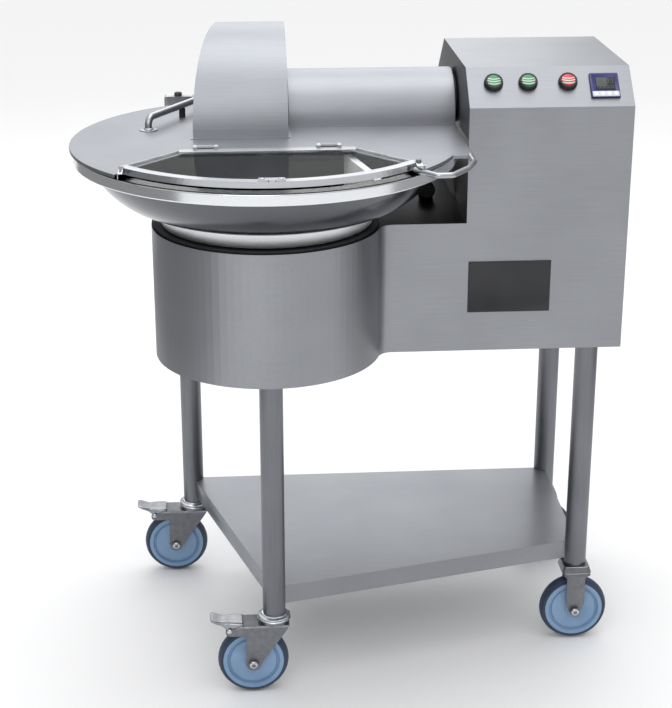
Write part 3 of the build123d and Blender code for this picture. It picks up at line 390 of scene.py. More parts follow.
# ---------------------------------------------------------------- castors
# Bright zinc-plated pressed steel forks, heads and pedals, with blue
# polypropylene wheels and dark blue-grey elastic rubber tyres.
def moulded(name, dark, light, rough, grain):
    """Moulded plastic or rubber: two close tones and a fine skin; grain in cells per metre."""
    stuff = new_material(name)
    place = add_node(stuff, "ShaderNodeTexCoord")
    skin = add_node(stuff, "ShaderNodeTexNoise", {"Scale": grain, "Detail": 4.0},
                    {"Vector": place.outputs["Object"]})
    cloud = add_node(stuff, "ShaderNodeTexNoise", {"Scale": 22.0, "Detail": 2.0},
                     {"Vector": place.outputs["Object"]})
    tone = add_node(stuff, "ShaderNodeValToRGB", {"stops": ((0.3, linear(dark)), (0.7, linear(light)))},
                    {"Fac": cloud.outputs[0]})
    dulled = add_node(stuff, "ShaderNodeMapRange", {"To Min": rough - 0.07, "To Max": rough + 0.07},
                      {"Value": cloud.outputs[0]})
    relief = add_node(stuff, "ShaderNodeBump", {"Strength": 0.15, "Distance": 0.0002},
                      {"Height": skin.outputs[0]})
    shader = add_node(stuff, "ShaderNodeBsdfPrincipled", {"IOR": 1.5},
                      {"Base Color": tone.outputs[0], "Roughness": dulled.outputs[0],
                       "Normal": relief.outputs[0]})
    finish_material(stuff, shader)
    return stuff


# zinc-plated pressed steel: a satin grey, mottled in clouds 11 mm across
fork_steel = brushed_steel("satin_castor_steel", "6c6e72", "85878b", 0.34, 0.5, (90, 90, 90))
# the same plating rolled bright on the race rings and the small turned parts, and put on the forks' rounded
# edges as a painted highlight: sharp pale highlights
bright_steel = brushed_steel("polished_castor_steel_and_edge_highlight", "b9bcc1", "d0d3d7", 0.12, 0.22, (120, 120, 120))
# the stamped levers: lighter and smoother than the forks
pedal_steel = brushed_steel("stamped_pedal_steel", "888a8e", "a9abaf", 0.26, 0.38, (110, 110, 110))
# moulded polypropylene: an even pale blue with a soft waxy gloss, its skin 1.1 mm
wheel_blue = moulded("blue_polypropylene", "7593b4", "84a1c0", 0.38, 900)
# elastic solid rubber: a matt blue-grey, nearly black
tyre_rubber = moulded("blue_grey_elastic_rubber", "27364a", "2f3d52", 0.55, 700)


turned_angle = math.radians(40)   # turned steps sharper than this stay crisp


def turned_piece(name, steps, material, sides=64):
    """Piece turned about Z through (radius, height) steps in mm; the ends are closed."""
    deselect()
    radius, height = steps[0]
    bpy.ops.mesh.primitive_circle_add(vertices=sides, radius=radius / 1000, fill_type="NGON",
                                      location=(0, 0, height / 1000))
    piece = bpy.context.object
    piece.name = name
    bpy.ops.object.transform_apply(location=True, rotation=True, scale=True)
    bpy.ops.object.mode_set(mode="EDIT")
    bpy.ops.mesh.select_all(action="SELECT")
    for next_radius, next_height in steps[1:]:
        rise = (next_height - height) / 1000
        bpy.ops.mesh.extrude_region_move(TRANSFORM_OT_translate={"value": (0, 0, rise)})
        grow = next_radius / radius
        bpy.ops.transform.resize(value=(grow, grow, 1), center_override=(0, 0, next_height / 1000))
        radius, height = next_radius, next_height
    bpy.ops.mesh.select_all(action="SELECT")
    bpy.ops.mesh.normals_make_consistent(inside=False)
    bpy.ops.object.mode_set(mode="OBJECT")
    bpy.ops.object.shade_smooth_by_angle(angle=turned_angle)
    piece.data.materials.append(material)
    return piece


def settle(piece, place, turn=(0, 0, 0)):
    """Move a piece made round the origin to its place, given in mm, and keep that in its mesh."""
    deselect()
    piece.select_set(True)
    bpy.context.view_layer.objects.active = piece
    piece.location = [p / 1000 for p in place]
    piece.rotation_euler = [math.radians(t) for t in turn]
    bpy.ops.object.transform_apply(location=True, rotation=True, scale=True)
    return piece


def join(name, pieces):
    """Make one piece of several."""
    deselect()
    for piece in pieces:
        piece.select_set(True)
    bpy.context.view_layer.objects.active = pieces[0]
    if len(pieces) > 1:
        bpy.ops.object.join()
    whole = bpy.context.object
    whole.name = name
    return whole


def stamped_lever(name, material):
    """Foot lever pressed from sheet: an arched strip that narrows to a waist and flares to its tip."""
    deselect()
    bpy.ops.mesh.primitive_circle_add(vertices=20, radius=1, fill_type="NOTHING")
    lever = bpy.context.object
    lever.name = name
    bpy.ops.transform.rotate(value=math.radians(90), orient_axis="Y", center_override=(0, 0, 0))
    bpy.ops.object.transform_apply(location=True, rotation=True, scale=True)
    bpy.ops.object.mode_set(mode="EDIT")
    bpy.ops.mesh.select_all(action="DESELECT")
    bpy.ops.object.mode_set(mode="OBJECT")
    for corner in lever.data.vertices:
        corner.select = corner.co.z < -0.01
    bpy.ops.object.mode_set(mode="EDIT")
    bpy.ops.mesh.delete(type="VERT")
    bpy.ops.object.mode_set(mode="OBJECT")
    for corner in lever.data.vertices:
        corner.co.y = math.copysign(min(1.0, abs(corner.co.y) * 1.12), corner.co.y)
        corner.co.z = min(1.0, corner.co.z * 1.7)
    # stations from the fork's nose to the tip, in mm: place along X, half width, top, depth of the sides
    stations = [(-55, 19.5, 141.0, 7), (-62, 20.5, 141.6, 10), (-70, 20.5, 142.0, 16),
                (-80, 19.5, 142.0, 18), (-88, 16.5, 141.4, 9), (-96, 17.5, 142.6, 5),
                (-104, 19.0, 145.2, 4), (-110, 17.5, 147.0, 3.5), (-113, 13.5, 147.4, 3)]
    bpy.ops.object.mode_set(mode="EDIT")
    bpy.ops.mesh.select_all(action="SELECT")
    x, half, top, deep = stations[0]
    bpy.ops.transform.resize(value=(1, half / 1000, deep / 1000), center_override=(0, 0, 0))
    bpy.ops.transform.translate(value=(x / 1000, 0, (top - deep) / 1000))
    for next_x, next_half, next_top, next_deep in stations[1:]:
        bpy.ops.mesh.extrude_region_move(TRANSFORM_OT_translate={"value": ((next_x - x) / 1000, 0, 0)})
        foot = (top - deep) / 1000
        bpy.ops.transform.resize(value=(1, next_half / half, next_deep / deep),
                                 center_override=(0, 0, foot))
        bpy.ops.transform.translate(value=(0, 0, (next_top - next_deep) / 1000 - foot))
        x, half, top, deep = next_x, next_half, next_top, next_deep
    bpy.ops.mesh.select_all(action="SELECT")
    bpy.ops.mesh.normals_make_consistent(inside=False)
    bpy.ops.object.mode_set(mode="OBJECT")
    apply_modifier(lever, "SOLIDIFY", thickness=0.0022, offset=-1.0)
    apply_modifier(lever, "SUBSURF", levels=2, render_levels=2)
    bpy.ops.object.shade_smooth()
    lever.data.materials.append(material)
    return lever


def middle_mm(node):
    """Middle of a CAD node's box, in mm."""
    low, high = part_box(node)
    return tuple(500 * (a + b) for a, b in zip(low, high))


corners_of_stand = ("front_left", "rear_left", "front_right", "rear_right")
castor_trail = 38.0    # a swivel castor's axle stands this far behind its leg
leg_axes = {}
for corner in corners_of_stand:
    x, y, z = middle_mm("tyre_" + corner)
    leg_axes[corner] = (x + castor_trail if corner.endswith("left") else x, y)
# (radius, height) of the three bright rolled rings of the ball race, and of the plug in the leg
race_profile = [
    (22, 142.4), (27.6, 142.4), (29.0, 143.2), (29.6, 144.4), (29.0, 145.6), (27.2, 146.4), (26.6, 147.0),
    (27.4, 147.6), (28.4, 148.6), (28.2, 149.8), (26.8, 150.8), (24.6, 151.4), (23.8, 152.0),
    (24.2, 152.8), (23.6, 153.6), (21.6, 154.2), (17.9, 154.3), (17.9, 176)]
rivet_profile = [(4.6, 0), (4.6, 1.0), (4.0, 2.0), (2.6, 2.7), (1.2, 2.9)]
lever_pin_x, lever_side_y, lever_pin_z = -79.0, -22.4, 128.0
heads = []
for corner in corners_of_stand:
    dress(wheel_blue, "wheel_core_" + corner)
    dress(tyre_rubber, "tyre_" + corner)
    x, y = leg_axes[corner]
    if corner.endswith("left"):
        # the forks' rounded edges take the bright steel: a painted highlight
        soften("castor_fork_" + corner, 0.0012, fork_steel, edge_highlight=bright_steel, flats=True)
        rings = turned_piece("race_rings_" + corner, race_profile, bright_steel, 72)
        heads.append(settle(rings, (x, y, 0)))
        lever = settle(stamped_lever("foot_lever_" + corner, pedal_steel), (x, y, 0))
        rivet = settle(turned_piece("lever_rivet_" + corner, rivet_profile, bright_steel, 32),
                       (x + lever_pin_x, y + lever_side_y, lever_pin_z), (90, 0, 0))
        lever = join("brake_lever_" + corner, [lever, rivet])
        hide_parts("brake_pedal_" + corner)
        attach(lever, "pedal_" + corner)
race_heads = join("castor_race_rings", heads)
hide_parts("swivel_heads")
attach(race_heads, "frame")

# the rigid castors' pressed heads: the skirt drawn in, the corners rounded and the rolled rim's rounded edge
# in the bright steel, a painted highlight
forks = soften("rigid_castor_forks", 0, fork_steel)
# second slot: the bright steel of the painted highlight on the rim
forks.data.materials.append(bright_steel)
rigid_axes = [leg_axes["front_right"], leg_axes["rear_right"]]
skirt_foot = 0.1388                        # height in m where the head's skirt starts
skirt_inside, head_reach = 25.5, 40.0      # mm off the axis: inside of the skirt, outside of the head
skirt_drawn_in = 0.91


def off_castor_axis(point):
    """How far a point stands from the nearer rigid castor's axis, along X and along Y, in mm."""
    return min(((abs(1000 * point.x - x), abs(1000 * point.y - y)) for x, y in rigid_axes), key=max)


for vertex in forks.data.vertices:
    spot = vertex.co
    if spot.z > skirt_foot and skirt_inside < max(off_castor_axis(spot)) < head_reach:
        x, y = min(rigid_axes, key=lambda axis: math.dist((1000 * spot.x, 1000 * spot.y), axis))
        vertex.co.x = (x + skirt_drawn_in * (1000 * spot.x - x)) / 1000
        vertex.co.y = (y + skirt_drawn_in * (1000 * spot.y - y)) / 1000


def pick_edges(piece, wanted):
    """Select the edges for which wanted(one end, other end) holds."""
    deselect()
    piece.select_set(True)
    bpy.context.view_layer.objects.active = piece
    for part in (piece.data.vertices, piece.data.polygons):
        for item in part:
            item.select = False
    for edge in piece.data.edges:
        one, two = (piece.data.vertices[v].co for v in edge.vertices)
        edge.select = wanted(one, two)
    bpy.ops.object.mode_set(mode="EDIT")
    bpy.ops.mesh.select_mode(type="EDGE")


head_foot = 0.141                          # m: the head's own edges are above this height
corner_height = 0.009                      # m: an upright edge longer than this is a corner
corner_reach, rim_reach = 22.0, 21.5       # mm off the axis: no outer edge is nearer than this


def head_corner(one, two):
    """True for an upright edge at a corner of a rigid castor's head."""
    (ax, ay), (bx, by) = off_castor_axis(one), off_castor_axis(two)
    upright = min(one.z, two.z) > head_foot and abs(one.z - two.z) > corner_height
    return upright and min(ax, ay, bx, by) > corner_reach and max(ax, ay) < head_reach


def head_rim(one, two):
    """True for a level edge round the outside of a rigid castor's head."""
    (ax, ay), (bx, by) = off_castor_axis(one), off_castor_axis(two)
    level = abs(one.z - two.z) < 0.0004 and one.z > head_foot
    return level and min(max(ax, ay), max(bx, by)) > rim_reach and max(ax, ay) < head_reach


pick_edges(forks, lambda one, two: True)
bpy.ops.mesh.select_all(action="SELECT")
bpy.ops.mesh.dissolve_limited(angle_limit=flat_angle)
bpy.ops.object.mode_set(mode="OBJECT")
pick_edges(forks, head_corner)
bpy.ops.mesh.bevel(offset=0.007, segments=5, affect="EDGES", clamp_overlap=True)
bpy.ops.object.mode_set(mode="OBJECT")
pick_edges(forks, head_rim)
# the rim's rounded edge takes the second slot: a painted highlight
bpy.ops.mesh.bevel(offset=0.0016, segments=3, affect="EDGES", clamp_overlap=True, material=1)
bpy.ops.object.mode_set(mode="OBJECT")
deselect()
forks.select_set(True)
bpy.context.view_layer.objects.active = forks
bpy.ops.object.shade_smooth_by_angle(angle=fold_angle)

# axle bolts: domed heads with a round socket, on the side of each fork that faces forwards
bolt_profile = [(8.2, 0), (8.2, 3.4), (7.4, 5.4), (5.8, 6.6), (3.4, 6.9), (3.2, 4.2), (1.0, 4.0)]
fork_side_y = -23.2
for corner in corners_of_stand:
    x, y, z = middle_mm("tyre_" + corner)
    bolt = settle(turned_piece("axle_bolt_" + corner, bolt_profile, bright_steel, 36),
                  (x, y + fork_side_y, z), (90, 0, 0))
    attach(bolt, "castor_" + corner if corner.endswith("left") else "frame")

# ---------------------------------------------------------------- push buttons
# Round push buttons on the sloping panel: a black moulded collar with a turned
# grip edge, and a glossy domed cap with three pale curved bars moulded in.
panel_foot = (177.0, -83.5, 1031.0)     # left end of the panel's lower edge, mm
panel_turn = (42.91, 0, 0)              # the panel's slope, in degrees about X
panel_along, panel_up, panel_out = (1, 0, 0), (0, 0.7324, 0.6809), (0, -0.6809, 0.7324)


def on_panel(along, up, lift=0.0):
    """Place in mm of a point along the panel, up its slope and off its face."""
    return tuple(foot + along * a + up * u + lift * o
                 for foot, a, u, o in zip(panel_foot, panel_along, panel_up, panel_out))


# moulded polyamide: black with a fine satin skin; a thin strip of it also stands in the hook's slot as
# painted shade
black_plastic_and_slot_shade = moulded("black_polyamide_and_slot_shade", "141517", "1d1e21", 0.32, 800)
dress(black_plastic_and_slot_shade, "cable_gland")


bar_pitch, cap_rim = 0.0046, 0.0145    # one bar every 4.6 mm, inside a plain rim of 14.5 mm radius
bar_sag, bars_top = 28.0, 0.0046       # sag for each metre squared along a bar; no bar above 4.6 mm


def barred_cap(name, dark, light, place):
    """Glossy polycarbonate: deep even colour, with three pale curved bars across the cap's lower half."""
    cap = new_material(name)
    where = add_node(cap, "ShaderNodeTexCoord")
    local = add_node(cap, "ShaderNodeMapping", {
        "vector_type": "TEXTURE", "Location": [p / 1000 for p in place],
        "Rotation": (math.radians(panel_turn[0]), 0, 0)}, {"Vector": where.outputs["Object"]})
    axes = add_node(cap, "ShaderNodeSeparateXYZ", None, {0: local.outputs[0]})
    # the bars sag in the middle: their height follows the square of the place along them
    bend = add_node(cap, "ShaderNodeMath", {"operation": "MULTIPLY"},
                    {0: axes.outputs[0], 1: axes.outputs[0]})
    level = add_node(cap, "ShaderNodeMath", {"operation": "MULTIPLY_ADD", 1: -bar_sag},
                     {0: bend.outputs[0], 2: axes.outputs[1]})
    turns = add_node(cap, "ShaderNodeMath", {"operation": "MULTIPLY", 1: 2 * math.pi / bar_pitch},
                     {0: level.outputs[0]})
    wave = add_node(cap, "ShaderNodeMath", {"operation": "SINE"}, {0: turns.outputs[0]})
    bars = add_node(cap, "ShaderNodeMapRange", {"From Min": -0.15, "From Max": 0.35},
                    {"Value": wave.outputs[0]})
    lower = add_node(cap, "ShaderNodeMapRange",
                     {"From Min": bars_top + 0.0006, "From Max": bars_top - 0.0006},
                     {"Value": level.outputs[0]})
    rim = add_node(cap, "ShaderNodeVectorMath", {"operation": "LENGTH"}, {0: local.outputs[0]})
    inside = add_node(cap, "ShaderNodeMapRange",
                      {"From Min": cap_rim + 0.0003, "From Max": cap_rim - 0.0003},
                      {"Value": rim.outputs["Value"]})
    share = overlap(cap, bars.outputs[0], lower.outputs[0], inside.outputs[0])
    cloud = add_node(cap, "ShaderNodeTexNoise", {"Scale": 180.0, "Detail": 3.0},
                     {"Vector": where.outputs["Object"]})
    tone = add_node(cap, "ShaderNodeValToRGB", {"stops": ((0.0, linear(dark)), (1.0, linear(light)))},
                    {"Fac": cloud.outputs[0]})
    painted = add_node(cap, "ShaderNodeMix", {"data_type": "RGBA", 7: linear("c9d2c6")},
                       {0: share, 6: tone.outputs[0]})
    rough = add_node(cap, "ShaderNodeMapRange", {"To Min": 0.14, "To Max": 0.22},
                     {"Value": cloud.outputs[0]})
    relief = add_node(cap, "ShaderNodeBump", {"Strength": 0.25, "Distance": 0.0003}, {"Height": share})
    shader = add_node(cap, "ShaderNodeBsdfPrincipled", {"IOR": 1.5},
                      {"Base Color": painted.outputs[2], "Roughness": rough.outputs[0],
                       "Normal": relief.outputs[0]})
    finish_material(cap, shader)
    return cap


# (radius, height off the panel): the collar from its sleeve in the panel over its grip edge to its
# floor, and the cap from its stem to its crown, which clears that floor when it is pressed 3 mm
collar_profile = [
    (9.5, -13.5), (9.5, 0.05), (15.0, 0.05), (15.9, 0.9), (15.9, 3.4), (15.3, 4.2), (15.3, 6.6), (14.9, 8.2),
    (13.9, 9.0), (12.6, 9.0), (12.0, 8.6), (11.9, 2.3), (8.0, 2.1)]
cap_profile = [
    (5.0, -9.5), (5.0, 5.6), (11.5, 5.6), (11.5, 8.6), (11.2, 9.3), (10.2, 9.9), (8.6, 10.3), (6.2, 10.7),
    (3.4, 10.95), (1.0, 11.0)]
button_up, bars_lift = 48.0, 10.0    # the buttons' place up the slope; the bars' height off the panel
button_green, button_red = ("1f7a48", "2c9058"), ("c4283a", "d93a4b")
collars = []
for name, along, tones in (("start_button", 42.8, button_green), ("speed_button", 99.8, button_green),
                           ("stop_button", 165.8, button_red)):
    seat = on_panel(along, button_up)
    collar = turned_piece(name + "_collar", collar_profile, black_plastic_and_slot_shade, 72)
    collars.append(settle(collar, seat, panel_turn))
    cap_material = barred_cap(name + "_polycarbonate", *tones, on_panel(along, button_up, bars_lift))
    cap = settle(turned_piece(name + "_cap", cap_profile, cap_material, 72), seat, panel_turn)
    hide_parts(name)
    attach(cap, name)
collars = join("button_collars", collars)
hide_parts("button_bezels")
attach(collars, "frame")

# ---------------------------------------------------------------- temperature controller
# A 48 mm panel-mounted controller: violet-blue moulded bezel, dark liquid
# crystal window, and a light grey key strip with four round keys along its foot.
def slab(name, middle, size, material, edge=0.0, steps=2):
    """Rectangular piece with rounded edges, its middle and size in mm, made round the origin."""
    deselect()
    bpy.ops.mesh.primitive_cube_add(size=1, location=[m / 1000 for m in middle])
    piece = bpy.context.object
    piece.name = name
    piece.scale = [side / 1000 for side in size]
    bpy.ops.object.transform_apply(location=True, rotation=True, scale=True)
    if edge:
        bpy.ops.object.mode_set(mode="EDIT")
        bpy.ops.mesh.select_all(action="SELECT")
        bpy.ops.mesh.bevel(offset=edge / 1000, segments=steps, affect="EDGES")
        bpy.ops.object.mode_set(mode="OBJECT")
        bpy.ops.object.shade_smooth_by_angle(angle=fold_angle)
    piece.data.materials.append(material)
    return piece


def press_top(piece, inset, depth):
    """Inset a slab's top face and press it down, both in mm."""
    deselect()
    piece.select_set(True)
    bpy.context.view_layer.objects.active = piece
    top = max(piece.data.polygons, key=lambda face: (round(face.center.z, 6), face.area))
    for part in (piece.data.vertices, piece.data.edges, piece.data.polygons):
        for item in part:
            item.select = False
    top.select = True
    bpy.ops.object.mode_set(mode="EDIT")
    bpy.ops.mesh.select_mode(type="FACE")
    bpy.ops.mesh.inset(thickness=inset / 1000, depth=0)
    # the wall down to the pressed face leans by 0.4 mm
    bpy.ops.mesh.inset(thickness=0.0004, depth=-depth / 1000)
    bpy.ops.mesh.select_mode(type="VERT")
    bpy.ops.object.mode_set(mode="OBJECT")


# moulded ABS: the violet-blue face and the darker sides, both with a fine satin skin
violet_case = moulded("violet_blue_case", "34346e", "3f3f7c", 0.34, 700)
navy_case = moulded("navy_case_sides", "15182c", "1d2138", 0.4, 700)
# polyester key film and its domed keys: light grey and off-white, softly glossy
key_grey = moulded("light_grey_key_film", "c2c5c9", "d0d3d6", 0.4, 900)
key_white = moulded("white_key_caps", "e2e4e6", "eff0f1", 0.32, 900)
# liquid crystal display, switched off: dark glossy glass with segments that barely show
display_glass = moulded("liquid_crystal_window", "15191b", "2b3236", 0.12, 120)
segment_grey = moulded("unlit_display_segments", "343c40", "48524f", 0.2, 200)
bezel_base = slab("bezel_base", (0, 0, 1.2), (48, 48, 2.4), navy_case, 0.8)
bezel_face = slab("bezel_face", (0, 0, 3.6), (47.4, 47.4, 2.6), violet_case, 1.0, 3)
press_top(bezel_face, 2.2, 0.7)
window = slab("display_window", (1, 2, 4.6), (31, 24, 0.9), display_glass, 0.3)
# two rows of four figures; each shows its top, foot and right-hand segments, 0.7 mm wide
figure_width, figure_pitch, row_pitch, segment_width, segment_height = 4.2, 7.0, 11.5, 0.7, 5.08
segments = []
for row, height in enumerate((7.2, 4.6)):
    for place in range(4):
        x, y = -9.5 + figure_pitch * place, 7.0 - row_pitch * row
        for rise in (height / 2 - 0.4, 0.4 - height / 2):
            segments.append(slab("segment", (x, y + rise, segment_height),
                                 (figure_width, segment_width, 0.08), segment_grey))
        segments.append(slab("segment", (x + figure_width / 2, y, segment_height),
                             (segment_width, height - 2 * segment_width, 0.08), segment_grey))
key_row, key_pitch = -18.0, 11.0
key_strip = slab("key_strip", (0, key_row, 4.7), (44.6, 10.4, 1.1), key_grey, 0.5)
key_profile = [(3.9, 5.0), (3.9, 5.6), (3.5, 5.95), (2.6, 6.0), (2.2, 5.85), (0.6, 5.8)]
keys = [settle(turned_piece("key", key_profile, key_white, 32), (key_pitch * step, key_row, 0))
        for step in (-1.5, -0.5, 0.5, 1.5)]
back_box = slab("controller_back", (0, 0, -27), (43.8, 43.8, 54), navy_case, 0.6)
controller = join("temperature_controller",
                  [bezel_base, bezel_face, window, key_strip, back_box] + keys + segments)
controller_along, controller_up = 226.0, 40.0
settle(controller, on_panel(controller_along, controller_up), panel_turn)
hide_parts("controller")
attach(controller, "frame")

# ---------------------------------------------------------------- plate on the front
# A thin satin black plate with a fine raised border, stuck on the lower
# front wall; it is left blank.
# anodised aluminium under a satin lacquer: black with a soft sheen
plate_black = moulded("black_satin_plate", "1a1b1e", "222327", 0.4, 600)
low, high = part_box("name_plate")
width, tall = 1000 * (high.x - low.x), 1000 * (high.z - low.z)
plate = slab("front_plate", (0, 0, 0.75), (width, tall, 1.5), plate_black, 0.3)
press_top(plate, 2.0, 0.35)
settle(plate, (500 * (low.x + high.x), 1000 * high.y, 500 * (low.z + high.z)), (90, 0, 0))
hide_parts("name_plate")
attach(plate, "frame")

# ---------------------------------------------------------------- bowl and its drive
# Turned and polished stainless ring bowl on a cast aluminium turntable,
# with the spindle, pulleys, belts and motors inside the cabinet.
# spun stainless steel, polished after turning: a clear, slightly streaked shine
bowl_steel = brushed_steel("polished_stainless_bowl", "7d8085", "8a8d92", 0.14, 0.24, (200, 200, 900))
axis_x, axis_y = (middle / 1000 for middle in middle_mm("bowl_spindle")[:2])
rim_band_radius, rim_height = 0.3118, 0.962
spot = add_node(bowl_steel, "ShaderNodeTexCoord")
from_axis = add_node(bowl_steel, "ShaderNodeMapping",
                     {"Location": (-axis_x, -axis_y, 0), "Scale": (1, 1, 0)},
                     {"Vector": spot.outputs["Object"]})
radius = add_node(bowl_steel, "ShaderNodeVectorMath", {"operation": "LENGTH"}, {0: from_axis.outputs[0]})
facing = add_node(bowl_steel, "ShaderNodeSeparateXYZ", None, {0: spot.outputs["Normal"]})
height = add_node(bowl_steel, "ShaderNodeSeparateXYZ", None, {0: spot.outputs["Object"]})
# painted light on the bowl: painted shade on the outside where it faces down and deeper painted shade
# inside, a band round the rim painted brighter, partly its polish and partly a painted highlight, and the
# rim's flat top painted darkest as the shadow under the window strip
retone(bowl_steel, between(bowl_steel, facing.outputs[2], -1.1, -0.04, 0.02), "66686c")
retone(bowl_steel, between(bowl_steel, facing.outputs[2], 0.04, 1.1, 0.02), "48494c")
retone(bowl_steel, between(bowl_steel, radius.outputs["Value"], rim_band_radius, 0.33, 0.0006), "e8eaec")
rim_top = overlap(bowl_steel, between(bowl_steel, height.outputs[2], rim_height, 1.0, 0.001),
                  between(bowl_steel, facing.outputs[2], 0.6, 1.1, 0.05))
retone(bowl_steel, rim_top, "242527")
dress(bowl_steel, "bowl", "bowl_clamp_nut")
# turned cast aluminium: pale as aluminium is, pushed near white as painted light against the bowl's shade,
# its turning marks only broadening its shine
dress(brushed_steel("turned_aluminium_painted_light", "e4e6e9", "f2f3f5", 0.38, 0.48, (300, 300, 900)), "turntable")
# machined grey iron: dark, dull and slightly grainy
dress(brushed_steel("machined_iron", "4b4c50", "5b5c60", 0.35, 0.5, (300, 300, 300)),
      "spindle_housing", "bowl_pulley", "gearmotor_pulley", "shaft_pulley", "motor_pulley")
# ground bearing steel: a mid grey with a tight shine
dress(brushed_steel("ground_steel", "9a9da3", "abaeb3", 0.18, 0.3, (500, 500, 500)),
      "bowl_spindle", "ball_bearings", "hinge_rod")
# hardened knife steel, honed: the brightest metal in the bowl, partly its honed shine and partly painted
# light for the lamp light the pane keeps out
dress(brushed_steel("honed_knife_steel_painted_light", "c4c6ca", "d6d8dc", 0.2, 0.3, (500, 500, 500)),
      "knife_shaft", "knife_head", "knife_blades")
# sand-cast aluminium: pale, matt, with a 4 mm grain
dress(brushed_steel("cast_aluminium", "8b8d91", "9b9da1", 0.45, 0.6, (250, 250, 250)), "bowl_gearmotor")
# machine enamel on the motor: dark grey-blue, half gloss
dress(moulded("motor_paint", "3f4448", "4a4f54", 0.45, 300), "knife_motor")
# nitrile rubber: matt black
dress(moulded("black_rubber", "17181a", "212225", 0.6, 900),
      "deck_rubber_parts", "bowl_belt", "knife_belt", "handle_buffer")

# ---------------------------------------------------------------- lid
# Stainless sheet lid with the knife hood and shaft cover welded on, its
# handle and grab rod of bent round bar, and a white scraper under it.
# the cabinet's sheet in lit and shaded copies: the lid a little darker than the hood, the hood painted a
# shade lighter as painted light
lid_steel = brushed_steel("brushed_stainless_lid", "86888d", "929499", 0.36, 0.46, level_lines)
hood_steel = brushed_steel("brushed_stainless_hood", "95979c", "a2a4a9", 0.34, 0.44, level_lines)
for name in ("lid_sheet", "lid_hinge_straps"):
    soften(name, 0.0006, lid_steel)
soften("knife_hood", 0.0008, hood_steel)
soften("shaft_cover", 0, hood_steel)
# square tube ground lengthwise: pale, painted lighter as painted light against the hood's shade, with
# upright lines
post_steel = brushed_steel("brushed_stainless_post", "b6b8bc", "c2c4c8", 0.34, 0.44, (300, 300, 12))
soften("hinge_post", 0.002, post_steel, 3)
# cast iron arm, oiled: dark and dull
dress(brushed_steel("dark_cast_arm", "3a3b3e", "46474a", 0.4, 0.55, (300, 300, 300)), "shaft_arm")
# drawn round bar: a narrow bright line along it, softened by a satin finish
bar_steel = brushed_steel("satin_stainless_bar", "a6a8ac", "b4b6ba", 0.24, 0.34, (500, 500, 500))
dress(bar_steel, "lid_handle", "grab_rod")
# food-grade polyethylene: a waxy white
dress(moulded("white_polyethylene", "f0f0ed", "f8f8f6", 0.35, 500), "scraper")

# weld beads round the feet of the handle, and the rolled rims of the round pads under them, which
# lie in two opposite corners of the handle's box
handle_pad = 15.0
low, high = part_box("lid_handle")
handle_feet = ((1000 * low.x + handle_pad, 1000 * low.y + handle_pad),
               (1000 * high.x - handle_pad, 1000 * high.y - handle_pad))
bead_profile = [(8.6, 978.4), (8.4, 979.4), (7.4, 980.4), (6.4, 981.0), (6.1, 980.6)]
pad_profile = [(15.6, 977.0), (15.7, 977.9), (15.2, 978.6), (14.2, 978.8), (8.0, 978.7)]
beads = []
for x, y in handle_feet:
    beads.append(settle(turned_piece("weld_bead", bead_profile, bar_steel, 40), (x, y, 0)))
    beads.append(settle(turned_piece("pad_rim", pad_profile, bar_steel, 56), (x, y, 0)))
beads = join("handle_weld_beads", beads)
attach(beads, "lid")

# socket screw on the hinge post's top, chemically blackened: dark with a soft sheen
screw_black = moulded("blackened_screw_steel", "232426", "303134", 0.35, 600)
screw_profile = [(7.0, 981.9), (7.0, 986.4), (6.2, 987.4), (3.6, 987.5), (3.4, 984.4), (1.0, 984.3)]
post_screw_x, post_screw_y = -303.0, 289.0
post_screw = settle(turned_piece("post_screw", screw_profile, screw_black, 36),
                    (post_screw_x, post_screw_y, 0))
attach(post_screw, "frame")

# ---------------------------------------------------------------- window flap
# A clear polycarbonate pane screwed under a bright folded strip at the front
# and a flat one at the back, which hangs on two pinned hinges on the lid.
# thin stainless strip, bright rolled: pale, with nearly clear reflections
strip_steel = brushed_steel("bright_stainless_strip", "b8babe", "c6c8cc", 0.2, 0.28, (600, 600, 600))
soften("window_front_strip", 0.0005, strip_steel)
# the flat strip at the back is ground: satin, with level lines
back_strip_steel = brushed_steel("satin_back_strip", "a2a4a8", "b0b2b6", 0.3, 0.4, (12, 900, 900))
soften("window_back_strip", 0.0004, back_strip_steel, flats=True)
soften("window_hinge_leaves", 0.0004, lid_steel)
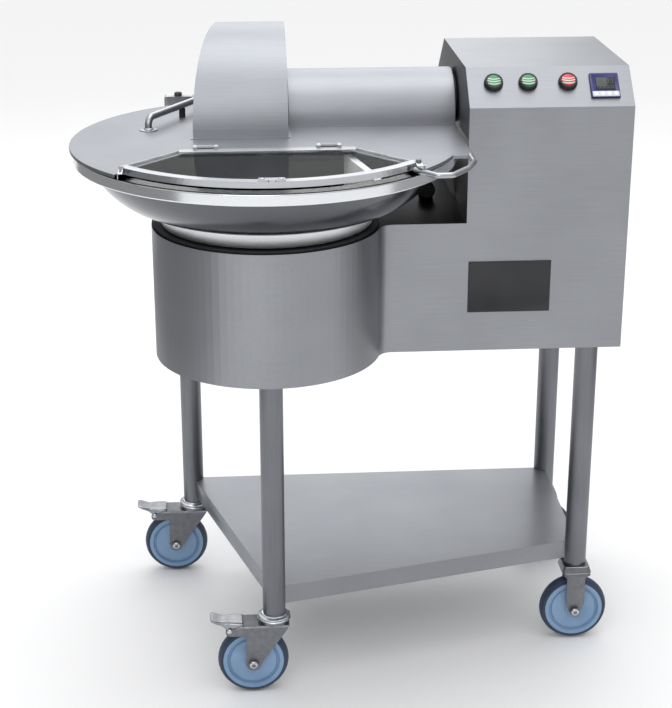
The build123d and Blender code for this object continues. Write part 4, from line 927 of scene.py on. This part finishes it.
# extruded clear sheet: no colour of its own and a faint wiped haze in 70 mm clouds; its index is below
# the 1.58 of polycarbonate, because the white studio all round would otherwise hide what is under it
pane = new_material("clear_polycarbonate")
place = add_node(pane, "ShaderNodeTexCoord")
wipe = add_node(pane, "ShaderNodeTexNoise", {"Scale": 14.0, "Detail": 3.0},
                {"Vector": place.outputs["Object"]})
haze = add_node(pane, "ShaderNodeMapRange", {"To Min": 0.0, "To Max": 0.02}, {"Value": wipe.outputs[0]})
clear = add_node(pane, "ShaderNodeBsdfPrincipled",
                 {"Base Color": linear("fbfcfc"), "IOR": 1.06, "Transmission Weight": 1.0},
                 {"Roughness": haze.outputs[0]})
finish_material(pane, clear)
dress(pane, "window_pane")

# sawn pane edges: matt and pale, a fine edging along the two slanting sides
edge_frost = moulded("sawn_polycarbonate_edge", "c4c8cc", "dde0e2", 0.3, 900)
flap_middle = 1000 * axis_x
# half widths and places along Y of the two ends of these sides, and their height
back_half, back_y, front_half, front_y, pane_level = 140.5, -139.0, 230.0, -240.5, 980.2
sides = []
for side in (-1, 1):
    along, across = side * (front_half - back_half), front_y - back_y
    edge = slab("pane_edge", (0, 0, 0), (math.hypot(along, across), 1.6, 5.4), edge_frost, 0.3)
    middle = (flap_middle + side * (front_half + back_half) / 2, (front_y + back_y) / 2, pane_level)
    sides.append(settle(edge, middle, (0, 0, math.degrees(math.atan2(across, along)))))
sides = join("pane_side_edges", sides)
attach(sides, "window")

# end brackets of the front strip: a folded hook at the left, its slot a thin black strip on its top as
# painted shade, and a bolted tab with a lug at the right
tab_bolt_profile = [(4.0, 985.8), (4.0, 989.4), (3.4, 990.2), (1.8, 990.3)]
ends = join("strip_end_brackets", [
    slab("hook_top", (-380.0, -270, 985.2), (8, 44, 1.6), strip_steel, 0.4),
    slab("hook_side", (-383.4, -270, 981.2), (1.4, 44, 8.4), strip_steel, 0.4),
    slab("hook_slot", (-379.6, -270, 986.1), (4.2, 30, 0.5), black_plastic_and_slot_shade),
    slab("tab_plate", (75.0, -260, 985.2), (11, 30, 1.6), strip_steel, 0.4),
    settle(turned_piece("tab_bolt", tab_bolt_profile, fork_steel, 32), (74.5, -252.0, 0)),
    slab("tab_lug", (82.0, -270, 982.4), (2.4, 14, 8), strip_steel, 0.5)])
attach(ends, "window")

# two domed screws beside the catch in the middle of the strip
catch_profile = [(4.2, 984.9), (4.2, 987.0), (3.4, 987.9), (2.0, 988.1), (1.8, 987.2), (0.6, 987.1)]
catch_y, catch_reach = -340.0, 14.0
catch_screws = join("catch_screws", [
    settle(turned_piece("catch_screw", catch_profile, bright_steel, 28), (flap_middle + side, catch_y, 0))
    for side in (-catch_reach, catch_reach)])
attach(catch_screws, "window")

low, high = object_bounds()
